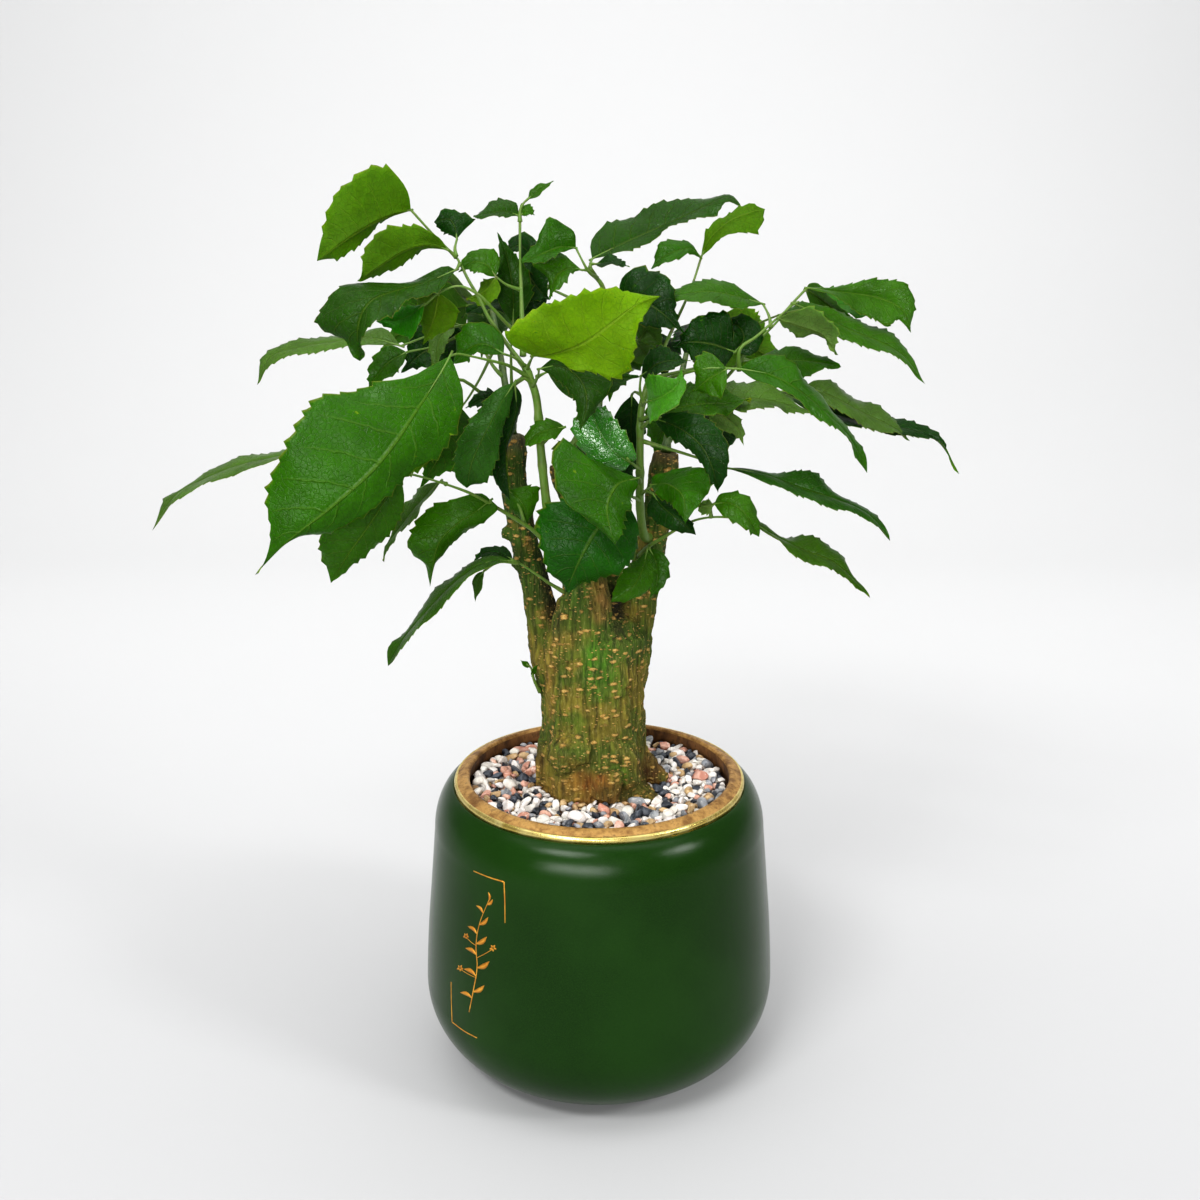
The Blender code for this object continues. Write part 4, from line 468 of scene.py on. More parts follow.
        ([(640, 478, -42), (620, 484, -52), (609, 505, -58), (611, 527, -61), (617, 545, -63)], [(637, 490), (631, 500), (627, 513), (623, 530)], 2, [(625, 473), (600, 464), (583, 452), (568, 438), (557, 446), (554, 468), (558, 488), (568, 505), (590, 520), (606, 533)], 2, "bright", 1)]),
    "leaf_front_glossy": ([([(642, 470, -23), (634, 464, -30), (628, 458, -34)], 2.6)], [
        ([(632, 463, -31), (615, 452, -33), (601, 432, -31), (590, 404, -26)], [(622, 472), (600, 465), (582, 449), (575, 430), (579, 413)], 1, [(638, 457), (630, 441), (620, 425), (606, 408)], -2, "gloss", 1)]),
    "leaf_front_right": ([([(642, 494, -19), (649, 489, -30), (653, 486, -36)], 2.7), ([(648, 490, -28), (654, 494, -32)], 0.0)], [
        ([(652, 485, -35), (668, 484, -48), (684, 497, -56), (686, 524, -58)], [(655, 475), (675, 472), (698, 468), (713, 474), (709, 491), (697, 508)], 4, [(655, 491), (663, 498), (672, 503), (680, 513)], 3, "bright", 1),
        ([(654, 494, -32), (664, 507, -38), (681, 521, -44), (697, 535, -44)], [(663, 498), (675, 504), (686, 514), (694, 525)], 2, [(648, 510), (657, 522), (670, 529), (686, 533)], 2, "dark", 1)]),
    "leaf_front_low": ([([(641, 501, -17), (634, 497, -28), (628, 499, -33)], 4.2)], [
        ([(628, 499, -33), (612, 514, -40), (597, 531, -44), (581, 560, -46), (567, 592, -42)], [(636, 520), (640, 541), (634, 558), (622, 569), (603, 577), (585, 586)], 4, [(605, 499), (570, 500), (547, 506), (539, 522), (543, 545), (552, 572)], 3, "front_dark", 1)]),
    "leaf_right_dark": ([([(642, 428, -25), (652, 420, -36), (662, 417, -44)], 2.5)], [
        ([(655, 418, -39), (680, 428, -50), (702, 446, -56), (714, 470, -57), (719, 493, -54)], [(672, 413), (700, 415), (719, 428), (729, 448), (727, 472)], 0, [(662, 430), (678, 441), (693, 452), (705, 467), (713, 482)], 0, "dark", 1)]),
    "leaf_centre_vertical": ([([(644, 396, -25), (636, 392, -18), (632, 396, -14)], 2.4)], [
        ([(633, 395, -15), (632, 430, -12), (634, 472, -10)], 13, 20, 14, "dark")]),
    "leaf_right_horizontal": ([([(643, 441, -24), (690, 455, -24), (727, 468, -22)], 2.2)], [
        ([(727, 468, -22), (765, 474, -16), (803, 488, -9), (840, 500, -5), (870, 515, -4), (891, 541, -4)], [(748, 468), (780, 474), (813, 472), (832, 488), (855, 502), (878, 518)], 8, [(750, 475), (778, 486), (806, 499), (832, 508), (858, 512), (880, 528)], -7, "dark2", 1)]),
    "leaf_far_left": ([([(510, 408, 13), (485, 395, 8), (458, 379, 2), (420, 395, -6), (345, 440, -14)], 3.0)], [
        ([(345, 440, -14), (285, 455, -10), (240, 465, -4), (205, 479, 2), (178, 494, 4), (153, 531, 4)], [(320, 452), (280, 460), (240, 471), (212, 483), (188, 495), (166, 508)], -8, [(320, 444), (280, 450), (240, 459), (208, 474), (185, 487), (163, 500)], 8, "sage", 1)]),
    "leaf_low_left": ([([(565, 592, -20), (550, 583, -26), (540, 576, -30), (520, 563, -34), (512, 560, -36)], 0.0), ([(520, 563, -34), (500, 562, -38), (485, 571, -38)], 0.0)], [
        ([(514, 561, -36), (485, 563, -39), (458, 580, -41), (432, 606, -41), (405, 638, -39), (389, 666, -36)], [(500, 563), (478, 573), (457, 591), (432, 616), (408, 643), (394, 658)], -7, [(498, 556), (475, 560), (450, 579), (428, 601), (404, 633), (391, 648)], 7, "sage2", 1),
        ([(514, 560, -35), (500, 553, -31), (486, 553, -29), (472, 564, -28)], 7, 50, 14, "dark"),
        ([(485, 571, -38), (480, 580, -38), (476, 602, -36)], 5, 30, 14, "sage2")]),
    "side_sprout": ([([(541, 692, -6), (535, 680, -8), (532, 668, -9), (527, 664, -9)], 0.0)], [
        ([(531, 667, -9), (526, 664, -9), (521, 660, -9)], 3, 30, 12, "mid"),
        ([(533, 676, -8), (536, 668, -10), (540, 664, -11)], 2.5, 30, 12, "mid")]),
    # the far side of the crown
    "leaf_back_a": ([([(491, 310, 54), (480, 305, 64), (470, 305, 72)], 2.0)], [
        ([(470, 305, 72), (440, 312, 84), (405, 330, 92), (380, 352, 92)], 30, 60, 10, "dark"),
        ([(478, 300, 67), (462, 296, 84), (448, 298, 104), (440, 312, 120)], 28, 40, 10, "mid")]),
    "leaf_back_b": ([([(499, 340, 40), (480, 380, 56), (460, 410, 66), (440, 425, 72)], 1.9)], [
        ([(440, 425, 72), (410, 440, 76), (370, 465, 78), (340, 500, 74)], 32, 52, 10, "mid"),
        ([(462, 407, 65), (452, 430, 76), (438, 460, 84), (420, 490, 84)], 28, 30, 10, "dark")]),
    "leaf_back_c": ([([(490, 299, 59.5), (497, 295, 76), (510, 296, 98)], 0.6)], [
        ([(510, 296, 98), (520, 300, 114), (528, 318, 128), (530, 342, 134)], 32, 4, -14, "dark"),
        ([(505, 298, 88), (492, 310, 104), (484, 335, 116), (482, 360, 118)], 26, 20, -14, "mid")]),
    "leaf_back_d": ([([(606, 329, 91), (600, 325, 98), (590, 322, 106)], 0.8)], [
        ([(590, 322, 106), (575, 325, 122), (562, 342, 136), (556, 368, 142)], 34, 14, -14, "mid"),
        ([(597, 325, 101), (603, 318, 118), (610, 318, 138), (616, 330, 154)], 30, 0, -14, "dark")]),
    "leaf_back_e": ([([(604, 362, 75), (617, 358, 80), (628, 344, 92), (636, 336, 102)], 2.6)], [
        ([(636, 336, 102), (650, 340, 116), (662, 356, 128), (668, 380, 132)], 32, -10, -14, "dark"),
        ([(628, 344, 92), (618, 352, 108), (612, 374, 120), (610, 402, 124)], 28, 4, -14, "mid")]),
    "leaf_back_f": ([([(600, 420, 53), (600, 430, 70), (596, 438, 84)], 2.4)], [
        ([(596, 438, 84), (585, 448, 98), (578, 470, 108), (576, 500, 108)], 30, 8, -14, "mid"),
        ([(598, 434, 78), (612, 446, 94), (620, 470, 104), (622, 500, 104)], 28, -8, -14, "dark")]),
    "leaf_back_g": ([([(694, 321, 65), (704, 317, 72), (716, 318, 80)], 0.8)], [
        ([(716, 318, 80), (738, 338, 90), (762, 352, 98), (788, 372, 98)], 30, -58, 10, "mid"),
        ([(706, 318, 74), (704, 326, 94), (706, 344, 112), (712, 368, 120)], 30, -6, -14, "dark")]),
    "leaf_back_h": ([([(682, 378, 39), (692, 396, 56), (700, 408, 68)], 2.2)], [
        ([(700, 408, 68), (712, 422, 80), (716, 444, 88), (712, 470, 88)], 28, -8, -14, "dark"),
        ([(692, 396, 56), (676, 410, 72), (662, 434, 82), (654, 462, 84)], 28, 14, -14, "mid")]),
}


# ---------------------------------------------------------------- materials
def leaf_material(name, under, glossy=False):
    """Blade of a leaf.  leaf = (along, across -1..1, random); tint = its colour."""
    k = Nodes(name)
    s, u, r = k.split(k.attr("leaf").outputs["Vector"])
    tint = k.attr("tint").outputs["Color"]
    au = k.math('ABSOLUTE', u)
    side = k.math('GREATER_THAN', u, 0.0)
    q = k.mul(k.sub(s, k.mul(k.math('POWER', au, 1.2), 0.15)), 9.0)
    q = k.add(q, k.add(k.mul(side, 0.42), r))
    wob = k.noise(k.place(), 260.0, 2.0)
    q = k.add(q, k.mul(k.sub(wob, 0.5), 0.22))
    dv = k.math('ABSOLUTE', k.sub(k.math('FRACT', q), 0.5))
    fade = k.sub(1.0, k.step(0.55, 0.98, au))
    vein = k.mul(k.sub(1.0, k.step(0.01, 0.06, dv)), fade)
    rib = k.sub(1.0, k.step(0.012, 0.05, au))
    net = k.voronoi(k.place(), 520.0, 'DISTANCE_TO_EDGE').outputs[0]
    net = k.sub(1.0, k.step(0.0, 0.11, net))
    fine = k.noise(k.place(), 900.0, 4.0)
    blot = k.noise(k.place(), 75.0, 4.0, 0.6)
    # colour
    shade = k.remap(blot, 0.3, 0.7, 0.76, 1.2)
    shade = k.mul(shade, k.remap(fine, 0.3, 0.7, 0.94, 1.05))
    shade = k.mul(shade, k.sub(1.0, k.mul(net, 0.10)))
    grey = k.new("ShaderNodeCombineXYZ")
    for i in range(3):
        k.put(shade, grey.inputs[i])
    col = k.mix(1.0, tint, grey.outputs[0], 'MULTIPLY')
    pale = k.mix(0.22, tint, (0.26, 0.34, 0.05))
    col = k.mix(k.mul(k.math('MAXIMUM', k.mul(vein, 0.4), k.mul(rib, 0.8)), 0.9 if under else 0.6), col, pale)
    col = k.mix(k.mul(k.step(0.97, 1.0, au), 0.35), col, (0.20, 0.20, 0.03))
    k.set("Base Color", col)
    low, high = (0.10, 0.2) if glossy else (0.5, 0.66) if under else (0.26, 0.42)
    k.set("Roughness", k.remap(k.add(fine, k.mul(vein, 0.5)), 0.3, 1.0, low, high))
    sign = -1.0 if not under else 1.0
    h = k.add(k.mul(vein, 0.55 * sign), k.mul(rib, 1.0 * sign))
    h = k.add(h, k.add(k.mul(fine, 0.3), k.mul(net, 0.16 * sign)))
    h = k.add(h, k.mul(blot, 1.5))
    k.set("Normal", k.bump(h, 0.6, 0.0009))
    k.set("Subsurface Weight", 0.22 if under else 0.12)
    k.set("Subsurface Radius", (0.5, 1.0, 0.15))
    k.set("Subsurface Scale", 0.0016)
    k.set("Specular IOR Level", 0.9 if glossy else 0.08 if under else 0.12)
    return k.mat


def stalk_material():
    """Green stalks, streaked lengthwise, with brown blotches."""
    k = Nodes("green_stalk")
    tint = k.attr("tint").outputs["Color"]
    along = k.noise(k.place((1.0, 1.0, 0.25)), 900.0, 3.0)
    blot = k.noise(k.place(), 160.0, 3.0)
    col = k.mix(k.step(0.38, 0.72, along), tint, k.mix(0.5, tint, (0.16, 0.2, 0.05)))
    col = k.mix(k.mul(k.step(0.56, 0.75, blot), 0.55), col, (0.1, 0.075, 0.03))
    k.set("Base Color", col)
    k.set("Roughness", k.remap(along, 0.2, 0.8, 0.36, 0.6))
    k.set("Normal", k.bump(k.add(along, k.mul(blot, 0.6)), 0.4, 0.0004))
    k.set("Specular IOR Level", 0.45)
    return k.mat


def bark_material():
    """Olive bark: upright ridges, corky tan lenticels lying across, moss and dark cracks; painted shade deepens the
    furrows and cracks.
    """
    k = Nodes("bark")
    tint = k.attr("tint").outputs["Color"]
    here = k.place()
    ridge = k.noise(k.place((1.0, 1.0, 0.10)), 620.0, 4.0, 0.62, 0.35)
    ridge2 = k.noise(k.place((1.0, 1.0, 0.2)), 1500.0, 3.0, 0.6)
    blot = k.noise(here, 70.0, 5.0, 0.62)
    grain = k.noise(here, 1300.0, 4.0, 0.65)
    crack = k.sub(1.0, k.step(0.30, 0.44, ridge))
    # tan lenticels: some cells of a cell pattern squeezed in height
    spots = k.voronoi(k.place((0.8, 0.8, 1.7)), 230.0)
    pick = k.split(spots.outputs["Color"])[0]
    jag = k.add(spots.outputs["Distance"], k.mul(k.sub(grain, 0.5), 0.6))
    lent = k.mul(k.sub(1.0, k.step(0.2, 0.36, jag)), k.math('LESS_THAN', pick, 0.6))
    spots2 = k.voronoi(k.place((0.8, 0.8, 1.6)), 560.0)
    pick2 = k.split(spots2.outputs["Color"])[1]
    jag2 = k.add(spots2.outputs["Distance"], k.mul(k.sub(grain, 0.5), 0.2))
    dots = k.mul(k.sub(1.0, k.step(0.18, 0.32, jag2)), k.math('LESS_THAN', pick2, 0.55))
    # short level cracks
    level = k.noise(k.place((0.35, 0.35, 2.2)), 260.0, 3.0, 0.6, 0.4)
    level = k.mul(k.step(0.66, 0.72, level), k.step(0.45, 0.6, blot))
    # darker in the furrows between the ridges and near black in the cracks at their bottom: the bark's own dark furrows
    # and cracks, deepened by painted shade
    col = k.mix(k.step(0.34, 0.68, ridge), k.mix(1.0, tint, (0.46, 0.46, 0.36), 'MULTIPLY'), tint)
    col = k.mix(k.mul(k.step(0.5, 0.75, ridge2), 0.55), col, k.mix(0.5, tint, (0.42, 0.36, 0.14)))
    col = k.mix(k.mul(k.step(0.52, 0.7, blot), 0.28), col, k.mix(0.4, tint, (0.2, 0.13, 0.04)))
    col = k.mix(k.mul(level, 0.7), col, (0.03, 0.018, 0.008))
    cork = k.mix(k.step(0.35, 0.7, grain), srgb(168, 128, 62), srgb(220, 188, 116))
    col = k.mix(k.mul(dots, 0.75), col, cork)
    col = k.mix(k.mul(lent, 0.92), col, cork)
    col = k.mix(k.mul(crack, 0.35), col, (0.018, 0.014, 0.006))
    k.set("Base Color", col)
    k.set("Roughness", k.remap(grain, 0.2, 0.8, 0.72, 0.95))
    h = k.add(k.mul(ridge, 1.5), k.add(k.mul(ridge2, 0.4), k.mul(grain, 0.35)))
    h = k.add(h, k.add(k.mul(lent, 0.7), k.mul(dots, 0.4)))
    h = k.sub(h, k.mul(level, 0.9))
    k.set("Normal", k.bump(h, 0.9, 0.0011))
    k.set("Specular IOR Level", 0.3)
    return k.mat


def glaze_material():
    """Deep green satin glaze with a fine speckle."""
    k = Nodes("green_glaze")
    here = k.place()
    speck = k.noise(here, 2600.0, 3.0, 0.7)
    cloud = k.noise(here, 16.0, 3.0)
    cell = k.voronoi(here, 1500.0).outputs["Distance"]
    col = k.mix(k.step(0.35, 0.68, speck), srgb(14, 41, 5), srgb(25, 55, 10))
    col = k.mix(k.mul(k.step(0.38, 0.70, cloud), 0.55), col, srgb(28, 60, 14))
    col = k.mix(k.mul(k.sub(1.0, k.step(0.05, 0.16, cell)), 0.25), col, srgb(44, 78, 30))
    k.set("Base Color", col)
    k.set("Roughness", k.remap(speck, 0.3, 0.7, 0.16, 0.23))
    k.set("Normal", k.bump(k.add(speck, k.mul(cloud, 2.0)), 0.12, 0.0004))
    k.set("Specular IOR Level", 0.16)
    return k.mat


def rim_material():
    """Worn antique gold paint on the flat top and the inside of the rim."""
    k = Nodes("rim_antique")
    here = k.place()
    wear = k.noise(here, 160.0, 6.0, 0.68)
    fine = k.noise(here, 900.0, 4.0, 0.65)
    col = k.mix(k.step(0.35, 0.65, wear), srgb(118, 82, 38), srgb(186, 146, 84))
    col = k.mix(k.mul(k.step(0.55, 0.68, fine), 0.5), col, srgb(86, 54, 24))
    col = k.mix(k.mul(k.step(0.60, 0.68, wear), 0.55), col, srgb(58, 36, 18))
    k.set("Base Color", col)
    k.set("Metallic", k.mul(k.sub(1.0, k.step(0.55, 0.75, wear)), 0.35))
    k.set("Roughness", k.remap(fine, 0.3, 0.7, 0.42, 0.66))
    k.set("Normal", k.bump(k.add(wear, k.mul(fine, 0.5)), 0.3, 0.0005))
    return k.mat


def inside_material():
    """Bare brown inner wall under the rim, damp and stained."""
    k = Nodes("pot_inside")
    here = k.place()
    stain = k.noise(k.place((1.0, 1.0, 0.5)), 130.0, 6.0, 0.68)
    fine = k.noise(here, 1000.0, 4.0, 0.65)
    col = k.mix(k.step(0.35, 0.65, stain), srgb(70, 44, 22), srgb(132, 92, 50))
    col = k.mix(k.mul(k.step(0.56, 0.66, stain), 0.7), col, srgb(34, 24, 14))
    col = k.mix(k.mul(k.step(0.6, 0.74, fine), 0.4), col, srgb(160, 128, 84))
    k.set("Base Color", col)
    k.set("Roughness", k.remap(fine, 0.25, 0.75, 0.55, 0.85))
    k.set("Normal", k.bump(k.add(stain, k.mul(fine, 0.5)), 0.4, 0.0006))
    return k.mat


def bare_material():
    """Unglazed stoneware of the foot ring and the recess under it."""
    k = Nodes("bare_stoneware")
    here = k.place()
    grog = k.noise(here, 700.0, 5.0, 0.7)
    cloud = k.noise(here, 50.0, 3.0)
    col = k.mix(k.step(0.3, 0.7, cloud), srgb(176, 156, 128), srgb(200, 182, 156))
    col = k.mix(k.mul(k.step(0.6, 0.7, grog), 0.6), col, srgb(120, 92, 66))
    k.set("Base Color", col)
    k.set("Roughness", k.remap(grog, 0.3, 0.7, 0.75, 0.92))
    k.set("Normal", k.bump(grog, 0.5, 0.0004))
    return k.mat


def gold_material():
    """Shiny gold paint on the rolled outer edge of the rim."""
    k = Nodes("rim_gold")
    here = k.place()
    wear = k.noise(here, 90.0, 5.0, 0.6)
    fine = k.noise(here, 1500.0, 3.0, 0.6)
    col = k.mix(k.step(0.35, 0.7, wear), srgb(202, 178, 98), srgb(230, 214, 144))
    col = k.mix(k.mul(k.step(0.62, 0.74, wear), 0.5), col, srgb(126, 96, 40))
    k.set("Base Color", col)
    k.set("Metallic", k.remap(wear, 0.3, 0.8, 0.95, 0.8))
    k.set("Roughness", k.remap(k.add(wear, k.mul(fine, 0.4)), 0.4, 1.1, 0.18, 0.42))
    k.set("Normal", k.bump(k.add(k.mul(wear, 1.4), k.mul(fine, 0.2)), 0.25, 0.0006))
    return k.mat


def line_material():
    """Printed orange gold of the fine lines and the sprig."""
    k = Nodes("gold_print")
    here = k.place()
    wear = k.noise(here, 300.0, 4.0, 0.6)
    col = k.mix(k.step(0.35, 0.7, wear), srgb(196, 128, 40), srgb(228, 168, 62))
    k.set("Base Color", col)
    k.set("Metallic", k.remap(wear, 0.2, 0.8, 0.45, 0.6))
    k.set("Roughness", k.remap(wear, 0.3, 0.7, 0.38, 0.5))
    k.set("Normal", k.bump(wear, 0.1, 0.0002))
    return k.mat


def soil_material():
    k = Nodes("potting_soil")
    here = k.place()
    lump = k.noise(here, 330.0, 6.0, 0.7)
    fibre = k.noise(k.place((1.0, 0.25, 1.0)), 1300.0, 3.0, 0.6)
    col = k.mix(k.step(0.35, 0.65, lump), srgb(38, 24, 14), srgb(96, 64, 36))
    col = k.mix(k.mul(k.step(0.6, 0.7, fibre), 0.6), col, srgb(140, 98, 56))
    k.set("Base Color", col)
    k.set("Roughness", k.remap(lump, 0.2, 0.8, 0.85, 1.0))
    k.set("Normal", k.bump(k.add(k.mul(lump, 1.4), k.mul(fibre, 0.4)), 1.0, 0.0016))
    return k.mat


def pebble_material(name, low, high, vein, amount, rough):
    """One kind of stone: two shades, veins of a third and a fine grain."""
    k = Nodes(name)
    here = k.place()
    tint = k.attr("tint").outputs["Color"]
    big = k.noise(here, 210.0, 4.0, 0.6, 0.5)
    fine = k.noise(here, 1900.0, 4.0, 0.65)
    band = k.noise(k.place((1.0, 0.4, 1.6)), 420.0, 2.0, 0.5, 1.4)
    col = k.mix(k.step(0.35, 0.66, big), low, high)
    col = k.mix(k.mul(k.step(0.60, 0.66, band), amount), col, vein)
    col = k.mix(0.85, col, tint, 'MULTIPLY')
    col = k.mix(k.mul(k.step(0.6, 0.72, fine), 0.22), col, vein)
    k.set("Base Color", col)
    k.set("Roughness", k.remap(fine, 0.25, 0.75, rough - 0.1, rough + 0.12))
    k.set("Normal", k.bump(k.add(k.mul(fine, 0.8), big), 0.35, 0.0005))
    k.set("Specular IOR Level", 0.45)
    return k.mat


def floor_material():
    k = Nodes("studio_floor")
    n = k.noise(k.place(), 3.0, 2.0)
    y = k.split(k.place())[1]
    # darker near the camera and lighter up the far sweep: painted shade and painted light standing in for how the light
    # falls on the studio floor
    near = k.mix(n, (0.40, 0.40, 0.405), (0.42, 0.42, 0.425))
    k.set("Base Color", k.mix(k.step(-0.5, 0.9, y), near, (0.70, 0.70, 0.70)))
    k.set("Roughness", 0.9)
    k.set("Specular IOR Level", 0.1)
    return k.mat


M_TOP = leaf_material("leaf_upper_side", False)
M_UNDER = leaf_material("leaf_under_side", True)
M_STALK = stalk_material()
M_BARK = bark_material()
M_GLAZE = glaze_material()
M_RIM = rim_material()
M_GOLD = gold_material()
M_INSIDE = inside_material()
M_BARE = bare_material()
M_LINE = line_material()
M_SOIL = soil_material()
LEAF_MATS = [M_TOP, M_UNDER, M_STALK]
GLOSSY_MATS = [leaf_material("leaf_upper_side_glossy", False, True), M_UNDER, M_STALK]


# ---------------------------------------------------------------- leaf colours, display values as seen
# These tints are partly painted light: lit, backlit and pale are painted light on and through the blade, sage, sage2
# and grey carry painted sheen, and the darker tints (dark, dark2, front_dark) are partly painted shade on leaves lying
# under others; the rest is the leaves' own green.
TINTS = {  # name: (upper side, under side)
    "dark": ((15, 47, 3), (42, 74, 10)), "dark2": ((34, 74, 4), (58, 94, 14)),
    "mid": ((46, 86, 4), (66, 98, 14)), "bright": ((38, 80, 1), (74, 106, 10)),
    "lit": ((40, 90, 6), (62, 94, 4)), "backlit": ((46, 104, 6), (90, 124, 4)),
    "sheen": ((31, 62, 5), (62, 90, 22)), "sage": ((66, 94, 34), (90, 114, 52)),
    "sage2": ((46, 78, 14), (72, 100, 32)), "grey": ((56, 86, 26), (94, 120, 58)),
    "olive": ((40, 78, 4), (70, 98, 8)), "olive2": ((42, 72, 2), (70, 96, 8)),
    "blue": ((44, 84, 22), (72, 102, 44)), "gloss": ((40, 108, 4), (84, 122, 20)),
    "pale": ((62, 118, 26), (110, 150, 66)), "front_dark": ((22, 68, 3), (54, 90, 12))}
STALK = srgb(78, 112, 30)
# darker copy of the stalk colour for the shoots on the far side of the crown: painted shade
STALK_PAINTED_SHADE = srgb(48, 76, 22)

OUTLINE = [(0.0, 0.0), (0.04, 0.2), (0.1, 0.5), (0.17, 0.76), (0.25, 0.93), (0.34, 1.0), (0.43, 0.98), (0.54, 0.87),
           (0.65, 0.67), (0.74, 0.44), (0.81, 0.25), (0.87, 0.14), (0.92, 0.08), (0.96, 0.04), (1.0, 0.0)]


def half_width(s):
    for i in range(len(OUTLINE) - 1):
        (a, u), (b, v) = OUTLINE[i], OUTLINE[i + 1]
        if s <= b:
            t = (s - a) / (b - a)
            p = OUTLINE[max(0, i - 1)][1]
            q = OUTLINE[min(len(OUTLINE) - 1, i + 2)][1]
            r = 0.5 * ((2 * u) + (v - p) * t + (2 * p - 5 * u + 4 * v - q) * t * t + (3 * u - p - 3 * v + q) * t ** 3)
            return max(0.0, r)
    return 0.0


COLS = (0.0, 0.05, 0.16, 0.34, 0.54, 0.74, 0.9, 1.0)


def edge_line(c, places, back, n):
    """Edge of an outlined blade: through the places, lying back mm behind the midrib c at mid length."""
    m = len(c) - 1
    pts = [c[0]]
    for k, (x, y) in enumerate(places):
        f = (k + 1) / (len(places) + 1)
        pts.append(P(x, y, c[int(round(f * m))].y + back * math.sin(math.pi * f)))
    return path(pts + [c[-1]], n)


